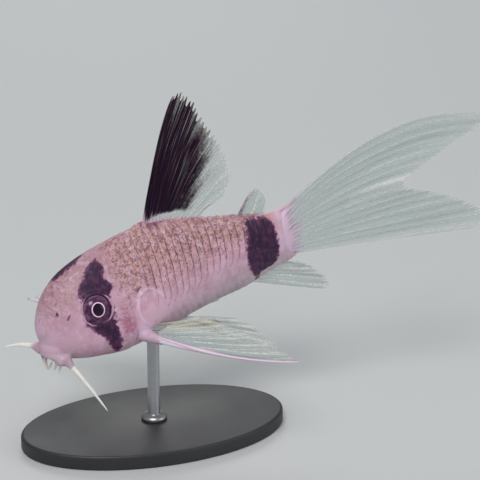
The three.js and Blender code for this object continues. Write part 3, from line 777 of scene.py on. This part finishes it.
def ellipsoid(middle, radii, rows=16, sides=28):
    latitude = np.linspace(0.02, math.pi - 0.02, rows)[:, None]
    turn = full_turn(sides)[None, :]
    rings = stack(np.sin(latitude) * np.cos(turn), np.sin(latitude) * np.sin(turn),
                  np.cos(latitude) + 0 * turn)
    points, faces = loft(rings * np.array(radii) + np.array(middle))
    return points, [f[::-1] for f in faces]


# The mouth's own directions: towards the snout, to the side, and out of the mouth
MOUTH_TILT = math.radians(MOUTH["tilt"])
MOUTH_FORWARD = np.array([-math.sin(MOUTH_TILT), 0, math.cos(MOUTH_TILT)])
MOUTH_SIDE = np.array([0, 1.0, 0])
MOUTH_OUT = np.array([-math.cos(MOUTH_TILT), 0, -math.sin(MOUTH_TILT)])
MOUTH_MIDDLE = np.array([MOUTH["x"], 0, MOUTH["z"]])
GAPE = (0.62, 1.75)


def lip_ring():
    """One soft ring round the mouth, thinner where the lips meet at its corners."""
    steps, sides = 64, 18
    turn, small = full_turn(steps)[:, None, None], full_turn(sides)[None, :, None]
    radius = MOUTH["lip"] * (0.82 + 0.18 * np.abs(np.cos(turn)))
    across = (MOUTH["height"] + 0.55 + radius * 0.62 * np.cos(small)) * np.cos(turn)
    wide = (MOUTH["width"] + radius * np.cos(small)) * np.sin(turn)
    points = (MOUTH_MIDDLE + across * MOUTH_FORWARD + wide * MOUTH_SIDE
              + radius * np.sin(small) * MOUTH_OUT)
    faces = grid_faces(steps + 1, sides, around=True) % (steps * sides)
    return points.reshape(-1, 3), [list(f) for f in faces]


def melted(parts):
    """Joins overlapping closed shapes into one even skin of small quads."""
    points, faces, first = [], [], 0
    for p, f in parts:
        points.append(p)
        faces += [[i + first for i in face] for face in f]
        first += len(p)
    rough = mesh_object("melting", np.vstack(points), faces)
    remesh = rough.modifiers.new("voxels", "REMESH")
    remesh.mode, remesh.voxel_size, remesh.use_smooth_shade = "VOXEL", VOXEL, True
    done = rough.evaluated_get(bpy.context.evaluated_depsgraph_get()).to_mesh()
    made = np.zeros(len(done.vertices) * 3, np.float32)
    done.vertices.foreach_get("co", made)
    quads = np.array([list(p.vertices) for p in done.polygons])
    rough.to_mesh_clear()
    bpy.data.objects.remove(rough)
    return made.reshape(-1, 3).astype(float), quads


def relaxed(points, quads, weight, rounds):
    """Smooths points towards their neighbours where the weight says."""
    edges = np.vstack([quads[:, [i, (i + 1) % 4]] for i in range(4)])
    count = np.bincount(edges.ravel(), minlength=len(points))[:, None]
    for _ in range(rounds):
        total = np.zeros_like(points)
        np.add.at(total, edges[:, 0], points[edges[:, 1]])
        np.add.at(total, edges[:, 1], points[edges[:, 0]])
        points = lerp(points, total / count, weight[:, None])
    return points


def relief(points):
    """How far the finished skin stands out from the smooth one."""
    x, _, z = points.T
    angle = angle_of(points)
    # The eye's socket and lid
    r = around_eye(points)
    lift = 0.12 * bump(r, 2.24, 0.13) + 0.08 * bump(r, 2.6, 0.3)
    lift -= 1.2 * fall(r, 1.68, 1.96)
    # Two nostrils with a flap of skin between them
    for nostril in NOSTRILS:
        r = spot(points, *nostril)
        lift += 0.08 * bump(r, 1.7, 0.4) - 0.3 * fall(r, 0.4, 1.2)
    lift += 0.14 * fall(spot(points, *NOSTRIL_FLAP), 0.3, 1.1)
    # The gill cover ends in a lip with a groove behind it
    ahead = round_body(GILL_EDGE, angle) - x
    open_part = rise(angle, 0.95, 1.25) * fall(angle, 2.5, 2.75)
    cover = 0.14 * rise(ahead, -0.02, 0.14) * fall(ahead, 1.6, 4.0)
    lift += open_part * (cover - 0.24 * bump(ahead, -0.18, 0.16))
    # The cheek swells a little, and the soft skin over the gills sinks
    lift += 0.12 * fall(spot(points, *CHEEK_SPOT), 0.3, 1.1)
    lift -= 0.1 * fall(spot(points, *GILL_SPOT), 0.3, 1.0)
    # The skull shield's seam, and the shoulder bone with its raised rim
    lift -= 0.07 * bump(ahead + 0.3, 0, 0.14) * fall(angle, 0.85, 1.0)
    shoulder = spot(points, *SHOULDER_SPOT)
    upper = over_shoulder(x, z)
    lift += 0.17 * upper * bump(shoulder, 0.98, 0.09) + 0.08 * fall(shoulder, 0.85, 1.1)
    lift -= 0.08 * upper * bump(shoulder, 1.14, 0.07)
    # The open mouth between the lips
    away = points - MOUTH_MIDDLE
    oval = np.hypot(away @ MOUTH_FORWARD / GAPE[0], away @ MOUTH_SIDE / GAPE[1])
    lift -= 0.75 * fall(oval, 0.55, 1.05) * (away @ MOUTH_OUT > -1.2)
    return lift


def closing_rings(turn):
    """The body's end, narrowing to an upright wedge inside the tail fin's root."""
    end = bare_skin(STALK_END, turn)
    middle = end.mean(axis=0)
    for share in np.linspace(0, 1, 16)[1:]:
        thin, low = 1 - 0.96 * share ** 1.25, 1 - 0.16 * share ** 2
        yield middle + (end - middle) * (1, thin, low) + (WEDGE * share, 0, 0)


def body_skin():
    turn = full_turn(BODY_SIDES)
    share = np.linspace(0.004, 1, BODY_RINGS) ** 1.5
    x = (share * STALK_END)[:, None]
    plated = rise(x, 13.5, 15) * fall(x, 39, 40.5)
    rings, _ = skin(x, turn[None, :], -0.04 * plated + 0 * turn[None, :])
    parts = [loft([*rings, *closing_rings(turn)]), lip_ring(), ellipsoid(*MUZZLE)]
    for _, side in SIDES:
        for middle, radii in (LIP_CORNER, PECTORAL_BASE):
            parts.append(ellipsoid(np.array(middle) * (1, side, 1), radii))
    parts.append(ellipsoid(*DORSAL_FOOT))
    # Skin leads up to the tail fin's upper edge, and out along each pectoral spine
    share = np.linspace(0, 1, 24)[:, None]
    ramp = arc(*np.array(TAIL_RAMP), share)
    parts.append(tube(ramp, lerp(0.5, 0.14, share), 16))
    for word, _ in SIDES:
        made = FINS[f"pectoral_fin_{word}"]
        edge, inside = (made.place(np.full(24, a), np.linspace(0, 0.17, 24)) for a in (0, 0.1))
        sleeve = edge + unit(inside - edge) * made.spine / 2
        parts.append(tube(sleeve, made.spine * lerp(0.8, 0.4, share), 24))
    for name in BARBELS:
        shown = barbel_path(name)[:18]
        swell = lerp(1.6, 0.45, np.linspace(0, 1, len(shown)) ** 0.8)
        parts.append(tube(shown, barbel_radius(name) * swell, 20))
    points, quads = melted(parts)
    chin = fall(points[:, 0], 3.6, 5.2) * fall(points[:, 2], -2.4, -1.0)
    points = relaxed(points, quads, 0.2 + 0.6 * chin, 8)
    points = points + vertex_normals(points, quads) * relief(points)[:, None]
    fish_piece("body_skin", points, quads, skin_material("fish_skin"), "flesh",
               ["head", "trunk", "tail_stalk"], **skin_values(points))


# Scutes: two rows of overlapping plates on each side

PLATE_ROWS = (
    # angles of its ends, the rear edge's lean from top to bottom, its backward bulge,
    # where the row starts, how far it swells, and how dark its rims' pigment and painted groove
    # shade are
    {"top": 0.1, "bottom": 1.62, "lean": (0.0, -0.55), "bulge": 0.3, "from": 13.2, "swell": 0.14,
     "dark": 1.0},
    {"top": 1.5, "bottom": 2.72, "lean": (-0.55, 1.0), "bulge": 0.22, "from": 17.6, "swell": 0.02,
     "dark": 0.12},
)
PLATE_GRID = (12, 30)
PLATE_LAP, PLATE_ROOT = 1.5, -0.12
LAST_EDGE = BODY_LENGTH - 0.6


def scute(row, rear, bottom, side):
    """One puffed plate: its outer face, rounded down at the rear, and its hidden inner face."""
    along = np.linspace(0, 1, PLATE_GRID[0])[:, None] ** 0.85
    down = np.linspace(0, 1, PLATE_GRID[1])[None, :]
    angle = lerp(row["top"], bottom, down)
    edge = lerp(row["lean"][0], row["lean"][1], down) + row["bulge"] * np.sin(down * math.pi)
    ends = np.abs(2 * down - 1) ** 6
    x = rear + edge - 0.3 * ends - (1 - along) * SCUTE_PITCH * PLATE_LAP * (1 - 0.5 * ends)
    x = x + 0.05 * np.sin(down * 23 + rear * 5.1) * along
    shown = rise(along, 0.12, 0.62) * np.sqrt(np.clip(1 - (along / 1.02) ** 7, 0, 1))
    fade = rise(x, 12.6, 18.5) * (1 - 0.9 * rise(x, 36.5, 39.4))
    cut_short = 0.16 * rise(down, 0.7, 1.0) * (bottom < row["bottom"])
    lift = PLATE_ROOT + (0.13 + row["swell"] * fade) * shown * (1 - 0.7 * ends) - cut_short
    outer, _ = skin(x, angle, lift)
    inner, _ = skin(x, angle, np.minimum(lift, PLATE_ROOT) - 0.04)
    points = np.vstack([outer.reshape(-1, 3), inner.reshape(-1, 3)])
    points[:, 1] *= -side
    # Its rim's pigment and painted groove shade fade towards the back, the belly, the shoulder and
    # the tail
    rim = (rise(along, 0.8, 0.97) + 0 * down) * row["dark"] * (1 - ends)
    rim = rim * rise(angle, 0.3, 0.85) * rise(x, 14.5, 17.5)
    rim = rim * fall(x, 37.0, 38.4)
    rim = rim * (0.45 + 0.55 * fall(angle, 1.1, 1.6))
    return points, np.tile(rim.ravel(), 2)


def scutes():
    points, rims, faces, unwraps, first = [], [], [], [], 0
    pattern, unwrap = sheet_pair(*PLATE_GRID, 0.8)
    counts = [int((LAST_EDGE - row["from"]) / SCUTE_PITCH) for row in PLATE_ROWS]
    for strip, row in enumerate(PLATE_ROWS):
        for number in range(counts[strip]):
            rear = LAST_EDGE - number * SCUTE_PITCH
            # The lower row closes under the belly, and the upper one is short over the shoulder
            bottom = row["bottom"]
            if strip == 1:
                bottom = lerp(bottom, 3.05, rise(rear, 25, 33))
            elif rear < 17.5:
                bottom = lerp(0.55, bottom, rise(rear, 13.5, 17.6))
            for hand, (_, side) in enumerate(SIDES):
                made, rim = scute(row, rear, bottom, side)
                points.append(made)
                rims.append(rim)
                turned = 1 if side == LEFT else -1
                faces.append(pattern[:, ::turned] + first)
                corner = unwrap[:, ::turned] + (number, 2 * strip + hand)
                unwraps.append(corner / (max(counts), 4))
                first += len(made)
    points = np.vstack(points)
    material = skin_material("plate_skin", plates=True)
    fish_piece("body_scutes", points, np.vstack(faces), material, "scutes",
               unwrap=np.vstack(unwraps), rim=np.concatenate(rims), **skin_values(points))


# Eyes

PUPIL_TALL = 1.12
UNDER_LID = 0.08


def eyes():
    """Two lens-shaped balls, a little wider than their sockets."""
    material = eye_material()
    latitude = np.linspace(0.01, 2.2, 48)[:, None]
    turn = full_turn(72)[None, :]
    place, normal = flank_place(EYE["x"], EYE["z"])
    u = unit(np.cross(np.array([0, 0, 1.0]), normal))
    v = np.cross(normal, u)
    radius = (EYE["radius"] + UNDER_LID) * np.sin(latitude)
    height = EYE["depth"] * (np.cos(latitude) - 1) + EYE["bulge"]
    rings = (place + (radius * np.cos(turn))[..., None] * u + (radius * np.sin(turn))[..., None] * v
             + (height + 0 * turn)[..., None] * normal)
    points, faces = loft(rings)
    tall = lerp(PUPIL_TALL, 1, rise(radius, 0.9, 1.5))
    ring = np.hypot(radius * np.cos(turn), radius * np.sin(turn) / tall)
    ring = np.where(latitude > math.pi / 2, EYE["radius"], ring)
    ring = np.concatenate([ring.ravel(), [0, EYE["radius"]]])
    for word, side in SIDES:
        placed = points * np.array([1, -side, 1])
        used = [f[::-1] for f in faces] if side == LEFT else faces
        fish_piece(f"eye_ball_{word}", placed, used, material, "eye", [f"eye_{word}"], ring=ring)


# Fins

# How dark, stained or white a fin is at a place across its rays and out along them

def dorsal_marks(across, out):
    """Dark, but for a pale band along the body, clear behind, and smoky at the tips."""
    band = rise(out, 0.02 + 0.2 * across, 0.06 + 0.32 * across)
    hind = fall(across + 0.25 * out, 0.4, 1.02)
    combed = -0.06 - 0.5 * rise(out + 0.45 * across, 0.4, 1.1)
    return {"pigment_and_shadow": band * hind * (1 - 0.3 * rise(out, 0.6, 1.0)), "combed": combed}


def adipose_marks(across, out):
    front = fall(across + 0.3 * out, 0.12, 0.42)
    return {"pigment_and_shadow": 0.55 * front, "brown": 0.8 * front, "combed": 0.0}


def pectoral_marks(across, out):
    """A painted shadow near the root, with a cream patch and brown blots on the inner rays."""
    # root: a painted shadow where the fin meets the belly
    root = bump(across, 0.45, 0.3) * bump(out, 0.26, 0.14)
    cream = bump(across, 0.82, 0.2) * bump(out, 0.55, 0.24)
    brown = np.maximum(bump(across, 0.8, 0.16) * bump(out, 0.81, 0.06),
                       bump(across, 0.6, 0.04) * bump(out, 0.8, 0.025))
    white = 0.4 * rise(out, 0.5, 0.9)
    return {"pigment_and_shadow": 0.34 * root, "cream": cream, "brown": brown, "white": white}


def pelvic_marks(across, out):
    """A cream patch with a brown edge towards the tips."""
    cream = bump(across, 0.5, 0.34) * bump(out, 0.36, 0.2)
    brown = 0.8 * bump(across, 0.66, 0.13) * bump(out, 0.52, 0.05)
    return {"cream": cream, "brown": brown, "white": 0.5 * rise(out, 0.6, 0.9)}


def tail_marks(across, out):
    """A white fold runs to the fork, and the edges are whiter."""
    fold = bump(across, 0.46, 0.014) * rise(out, 0.5, 0.7)
    edges = bump(across, 0, 0.035) + 0.5 * bump(across, 1, 0.05)
    return {"white": np.maximum(0.9 * fold, 0.6 * edges)}


class Fin:
    """A fin: where its first and last rays leave the body, and rows of tips across it.

    A row is (share of the way across, x, y, z). The bow is how far rays arch at shares of
    the way across, as a part of their length, and bow_to the way they arch. The spine is
    the first ray's thickness, ray the others', flesh the root's thickness and reach, fray
    the depth of the ragged edge, and wave how far the fin sways.
    """
    bow, bow_to, wave = ((0, 0), (1, 0)), (0, 0, 1), 0.0
    ray, fray, whiteness, marks = 0.24, 0.05, 0.9, None
    slot, nodes = "clear_fin", None

    def __init__(self, root, tips, **sizes):
        self.root = [np.array(end, float) for end in root]
        self.tips = through(tips)
        vars(self).update(sizes)

    def place(self, across, out):
        """The point at a share of the way across the rays and out along them."""
        start, finish = self.root
        root = start + (finish - start) * across[..., None]
        tip = self.tips(across)
        bow = through(self.bow)(across) * np.linalg.norm(tip - root, axis=-1)
        pull = (root + tip) / 2 + bow[..., None] * np.array(self.bow_to, float)
        point = arc(root, pull, tip, out[..., None])
        point[..., 1] += self.wave * np.sin(out * 2.7 + across * 1.8) * out
        return point


def flat(tips):
    return [(share, x, 0, z) for share, x, z in tips]


PELVIC = {
    "bow": ((0, 0.03), (1, 0)), "bow_to": (0, 0, -1), "rays": 6, "spine": 0.38, "fray": 0.08,
    "flesh": (0.8, 1.8), "marks": pelvic_marks,
}
FINS = {
    "dorsal_fin": Fin(
        ((18.9, 0, 9.2), (27.2, 0, 7.6)),
        flat([(0, 27.2, 26.9), (0.1, 28.6, 27.3), (0.22, 30.2, 25.6), (0.35, 31.2, 22.4),
              (0.5, 32.8, 18.9), (0.65, 33.5, 15.6), (0.78, 33.6, 12.9), (0.9, 32.2, 10.9),
              (1, 30.2, 9.9)]),
        bow=((0, 0.04), (0.5, 0.03), (1, 0.05)), bow_to=(-1, 0, 0.5), wave=0.7,
        rays=9, spine=0.6, ray=0.26, flesh=(0.9, 2.2), marks=dorsal_marks, slot="dark_fin"),
    "adipose_fin": Fin(
        ((32.9, 0, 5.9), (37.2, 0, 5.2)),
        flat([(0, 36.7, 10.2), (0.3, 37.7, 9.6), (0.65, 38.2, 8.1), (1, 37.9, 6.7)]),
        bow=((0, 0.04), (1, 0)), bow_to=(-1, 0, 1), wave=0.1,
        rays=3, spine=0.6, ray=0.05, fray=0.0, flesh=(0.7, 1.0), marks=adipose_marks),
    "anal_fin": Fin(
        ((32.2, 0, -3.0), (37.2, 0, -1.7)),
        flat([(0, 45.4, -8.5), (0.15, 46, -8.0), (0.4, 45.4, -5.9), (0.6, 44.2, -4.7),
              (0.8, 42.8, -3.4), (1, 41.7, -2.6)]),
        bow=((0, -0.03), (1, 0)), wave=0.5,
        rays=7, spine=0.34, ray=0.22, fray=0.06, flesh=(0.8, 1.6)),
    "pectoral_fin_left": Fin(
        ((12.7, -4.5, -4.0), (13.8, -4.4, -2.8)),
        [(0, 34.4, -16.7, -10.8), (0.1, 32.6, -15.6, -9.3), (0.35, 29.4, -12.7, -7.2),
         (0.7, 25.4, -9.2, -4.8), (1, 22, -7.4, -3.2)],
        bow=((0, 0.12), (1, 0.04)), bow_to=(0, 0, -1),
        rays=8, spine=1.5, flesh=(1.4, 2.8), marks=pectoral_marks),
    "pectoral_fin_right": Fin(
        ((12.5, 4.4, -4.2), (14.2, 4.4, -3.4)),
        [(0, 9.2, 25.5, -5.5), (0.12, 11, 25, -5.2), (0.35, 15.5, 22, -4.6),
         (0.7, 20.4, 17, -3.8), (1, 22.4, 12.2, -3.2)],
        bow=((0, 0.02), (1, 0.02)),
        rays=8, spine=1.0, flesh=(1.2, 2.4), marks=pectoral_marks),
    "pelvic_fin_left": Fin(
        ((19.4, -2.4, -4.5), (21.2, -2.4, -4.5)),
        [(0, 33.9, -10, -11.5), (0.2, 32.9, -9.2, -10), (0.5, 31.4, -8, -8),
         (0.8, 29.4, -6.8, -6.2), (1, 26, -5, -5.3)], **PELVIC),
    "pelvic_fin_right": Fin(
        ((19.4, 2.4, -4.5), (21.2, 2.4, -4.5)),
        [(0, 32.4, 11.6, -10.6), (0.2, 31.8, 10.4, -9.4), (0.5, 30.6, 8.8, -7.8),
         (0.8, 28.8, 7.2, -6.2), (1, 25.8, 5.2, -5.3)], **PELVIC),
    "tail_fin": Fin(
        ((39.3, 0, 4.8), (39.3, 0, -1.2)),
        flat([(0, 75, 12), (0.08, 74.3, 11.1), (0.17, 72, 10.1), (0.27, 68.3, 9),
              (0.36, 64.6, 7.6), (0.44, 61.4, 6.4), (0.5, 59.8, 5.0), (0.56, 61.2, 3.9),
              (0.65, 64, 2.7), (0.77, 68, 0.6), (0.88, 71.2, -2), (0.95, 71.9, -3.2),
              (1, 70, -4.5)]),
        bow=((0, 0.26), (0.25, 0.15), (0.5, 0.04), (1, -0.01)), wave=1.6,
        rays=14, spine=0.4, ray=0.2, fray=0.03, flesh=(2.4, 5.2), whiteness=0.5,
        marks=tail_marks, nodes=["tail_fin_upper_lobe", "tail_fin_lower_lobe"]),
}
FORKS = ((0.36, 0.24), (0.6, 0.12), (0.8, 0.06))
MEMBRANE = 0.07
STOUT_RAY = 0.55
# Points across each gap between two rays and out along them, and tatters in each gap
CELL_COLUMNS, FIN_ROWS, TATTERS = 18, 80, 6


def ray_relief(phase, out):
    """How much of a ray lies at a place: each ray forks three times on its way to its tip."""
    number = np.round(phase)
    away = np.full(np.broadcast(phase, out).shape, FAR)
    lines = [0]
    for begins, spread in FORKS:
        opened = spread * rise(out, begins, begins + 0.5)
        lines = [line + hand * opened for line in lines for hand in (-1, 1)]
    for neighbour in (-1, 0, 1):
        for line in lines:
            away = np.minimum(away, np.abs(phase - number - neighbour - line))
    width = lerp(0.14, 0.045, rise(out, 0.1, 0.9))
    return np.exp(-((away / width) ** 2))


def fin_values(made, across, out, ridge, edge, flesh):
    """What the fin's material reads at each point of one of its sheets."""
    values = {"pigment_and_shadow": 0, "combed": 0, "cream": 0, "brown": 0, "white": 0, "ray": ridge,
              "out": out, "edge": edge, "flesh": flesh, "stout": float(made.spine > STOUT_RAY),
              "whiteness": made.whiteness, **(made.marks(across, out) if made.marks else {})}
    values = {key: np.tile((value + 0 * out).ravel(), 2) for key, value in values.items()}
    lie = stack(across * (made.rays - 1), out, 0 * out).reshape(-1, 3)
    return {"lie": np.vstack([lie, lie]), **values}


def fin_piece(name, made, material):
    rays, place = made.rays, made.place
    columns = (rays - 1) * CELL_COLUMNS + 1
    across = np.linspace(0, 1, columns)[None, :] + np.zeros((FIN_ROWS, 1))
    phase = across * (rays - 1)
    drawn = np.random.default_rng(len(name)).uniform(0, 1, rays * TATTERS)
    ragged = np.interp(phase * TATTERS, np.arange(rays * TATTERS), drawn)
    short = made.fray * (1 - ray_relief(phase, np.ones_like(phase)) + 0.6 * ragged)
    out = np.linspace(0, 1, FIN_ROWS)[:, None] * (1 - short)
    step = 0.01
    high, low = np.minimum(across + step, 1), np.maximum(across - step, 0)
    sideways = place(high, out) - place(low, out)
    outward = place(across, out + step) - place(across, out - step)
    normal = unit(np.cross(sideways, outward))
    from_edge = phase * np.linalg.norm(sideways, axis=-1) / (high - low) / (rays - 1)
    # Thickness: membrane, ridges of the rays, a round first ray, and the fleshy root
    ridge = ray_relief(phase, out)
    crest = lerp(made.ray, 0.05, rise(out, 0, 1.1) ** 0.8)
    stout = made.spine * lerp(1.1, 0.35, out)
    round_ray = np.sqrt(np.clip(1 - (2 * from_edge / stout - 1) ** 2, 0, 1))
    from_root = np.linalg.norm(place(across, out) - place(across, 0 * out), axis=-1)
    root_thick, root_reach = made.flesh
    oval = np.clip(1 - np.abs(2 * across - 1) ** 2.5, 0, 1) ** 0.5
    root = root_thick * oval * fall(from_root, 0, root_reach) ** 1.3
    thick = np.maximum(MEMBRANE * lerp(1.0, 0.6, out) + crest * ridge, stout * round_ray)
    thick = np.maximum(thick, root)
    pleat = 0.1 * np.cos(phase * TURN) + 0.16 * np.sin(phase * 2.1 + out * 6)
    middle = place(across, out) + normal * (pleat * rise(out, 0.1, 0.6))[..., None]
    half = normal * thick[..., None] / 2
    points = np.vstack([(middle + half).reshape(-1, 3), (middle - half).reshape(-1, 3)])
    faces, unwrap = sheet_pair(FIN_ROWS, columns, 0.5)
    jag = 0.85 + 0.35 * ridge + 0.7 * (ragged - 0.5)
    flesh = fall(from_root, 0.3 * root_reach * jag, root_reach * jag)
    values = fin_values(made, across, out, ridge, from_edge / stout, flesh)
    fish_piece(f"{name}_veil", points, faces, material, made.slot, made.nodes or [name], unwrap,
               **values)


def fins():
    clear = fin_material("clear_veil", clear=0.26, gloss=0.25)
    dark = fin_material("dark_veil", clear=0.2, gloss=0.08)
    for name, made in FINS.items():
        fin_piece(name, made, dark if made.slot == "dark_fin" else clear)


# Barbels

BARBELS = {
    "maxillary_left": ((2.2, -2.2, -3.8), (4.0, -3.6, -7.6), (5.9, -5.0, -12.9)),
    "maxillary_right": ((1.1, 2.4, -3.4), (-0.8, 5.4, -2.6), (-2.3, 8.2, -3.9)),
    "rictal_left": ((2.5, -1.5, -4.3), (4.2, -2.0, -7.4), (6.0, -2.2, -11.3)),
    "rictal_right": ((1.0, 1.6, -4.2), (0.8, 2.1, -7.9), (2.0, 1.7, -5.7)),
    "chin_left": ((2.3, -0.6, -4.8), (2.2, -0.8, -5.9), (1.4, -0.9, -6.5)),
    "chin_right": ((2.2, 0.6, -4.8), (2.2, 0.6, -5.9), (1.5, 0.5, -6.5)),
}
BARBEL_RADIUS = {"maxillary": 0.66, "rictal": 0.36, "chin": 0.3}
long_taper = through([(0, 1), (0.2, 0.62), (0.42, 0.47), (0.65, 0.32), (0.9, 0.2), (1, 0.08)])
short_taper = through([(0, 1), (0.3, 0.66), (0.7, 0.5), (0.93, 0.36), (1, 0.12)])


def barbel_radius(name):
    return BARBEL_RADIUS[name.split("_")[0]]


def barbel_path(name):
    root, pull, tip = (np.array(p, float) for p in BARBELS[name])
    return arc(root, pull, tip, np.linspace(0, 1, 60)[:, None])


def barbels():
    material = barbel_material()
    sides = 16
    for name in BARBELS:
        path = barbel_path(name)
        t = np.linspace(0, 1, len(path))
        taper = long_taper if name.startswith("maxillary") else short_taper
        radius = barbel_radius(name) * taper(t) * (1 + 0.03 * np.sin(t * 60))
        points, faces = tube(path, radius, sides)
        out = np.concatenate([np.repeat(t, sides), [0, 1]])
        fish_piece(f"feeler_{name}", points, faces, material, "barbel", [f"barbel_{name}"], out=out)


# Stand

EDGE_ROUND, TIP_ROUND = 0.5 * MM, 0.3 * MM
# The rod's collar: radii as multiples of the rod's, and heights above the base
COLLAR = ((2.1, 0), (2.1, 0.5), (1.8, 0.8), (1.05, 0.9), (1, 1.0))


def stand_piece(name, profile, sides, material, slot, node, stretch=(1, 1)):
    """A piece turned round Z from [radius, height] rows."""
    turn = full_turn(sides)[None, :]
    radius, height = np.array(profile, float).T[:, :, None]
    rings = stack(radius * np.cos(turn) * stretch[0], radius * np.sin(turn) * stretch[1],
                  height + 0 * turn)
    dressed(mesh_object(name, *loft(rings)), material, slot, [node])


def stand():
    low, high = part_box("stand_base")
    long, wide, top = (high.x - low.x) / 2, (high.y - low.y) / 2, high.z
    # Steps of a quarter circle, as the gaps it leaves to the two flat sides it joins
    quarter = [(1 - math.cos(a), 1 - math.sin(a)) for a in np.linspace(0, math.pi / 2, 7)]
    under = [(1 - EDGE_ROUND / long * b, EDGE_ROUND * a) for a, b in quarter]
    over = [(1 - EDGE_ROUND / long * a, top - EDGE_ROUND * b) for a, b in quarter]
    stand_piece("stand_plate", [(0.5, 0), *under, *over, (0.5, top)], 160,
                stand_material(), "base", "stand_base", (long, wide))
    low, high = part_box("stand_rod")
    radius, tip = (high.x - low.x) / 2, high.z
    collar = [(radius * share, top + up * MM) for share, up in COLLAR]
    post = [*collar, (radius, tip - TIP_ROUND), (radius * 0.9, tip)]
    stand_piece("stand_post", post, 48, steel_material(), "steel", "stand_rod")


# Stage

# Each light: its place, size, power and tint. All of them look at the middle of the fish
LIGHTS = {
    "key": ((-0.24, -0.34, 0.52), 0.3, 2.6, (1, 0.98, 0.96)),
    "fill": ((0.5, -0.4, 0.25), 0.4, 0.7, (0.95, 0.97, 1)),
    "back": ((0.15, 0.5, 0.42), 0.3, 1.2, (1, 1, 1)),
}
LIT = Vector((0.012, 0, 0.028))
WORLD_TINT, WORLD_POWER = (0.95, 0.97, 1.0, 1), 0.34


def put(name, data, place, look):
    """Puts a light or a camera in its place, looking a way."""
    made = bpy.data.objects.new(name, data)
    made.location = place
    made.rotation_euler = look.to_track_quat("-Z", "Y").to_euler()
    bpy.context.scene.collection.objects.link(made)
    return made


def area_light(name, place, size, watts, tint):
    light = bpy.data.lights.new(name, "AREA")
    light.shape, light.size, light.energy, light.color = "DISK", size, watts, tint
    put(name, light, Vector(place), LIT - Vector(place))


def studio():
    s = Shader("studio_floor")
    s.set(Base_Color="floor", Roughness=0.8)
    # The floor runs back and curves up into a wall
    half_width, front, back, bend_radius, top = 2.2, -1.3, 0.9, 0.35, 1.6
    curve = [(back + bend_radius * math.sin(a), bend_radius * (1 - math.cos(a)))
             for a in np.linspace(0, math.pi / 2, 16)]
    profile = [(front, 0), *curve, (back + bend_radius, top)]
    points = [(x, y, z) for y, z in profile for x in (-half_width, half_width)]
    floor = mesh_object("floor", points, grid_faces(len(profile), 2))
    floor.data.materials.append(s.material)
    world = bpy.data.worlds.new("studio")
    bpy.context.scene.world = world
    world.use_nodes = True
    background = world.node_tree.nodes["Background"]
    background.inputs[0].default_value = WORLD_TINT
    background.inputs[1].default_value = WORLD_POWER
    bpy.context.scene.view_settings.view_transform = "Standard"
    for name, light in LIGHTS.items():
        area_light(name, *light)


def camera():
    a, e = (math.radians(CAMERA[k]) for k in ("azimuth", "elevation"))
    away = Vector((math.sin(a) * math.cos(e), -math.cos(a) * math.cos(e), math.sin(e)))
    lens = bpy.data.cameras.new("camera")
    lens.sensor_width = SENSOR
    lens.lens = SENSOR * FOCAL_PIXELS / IMAGE_PIXELS
    lens.clip_start, lens.clip_end = 0.01, 20
    place = (Vector(CAMERA["aim"]) + away * CAMERA["distance"]) * MM
    bpy.context.scene.camera = put("camera", lens, place, -away)


camera()
body_skin()
scutes()
eyes()
fins()
barbels()
stand()
studio()

bpy.context.view_layer.update()
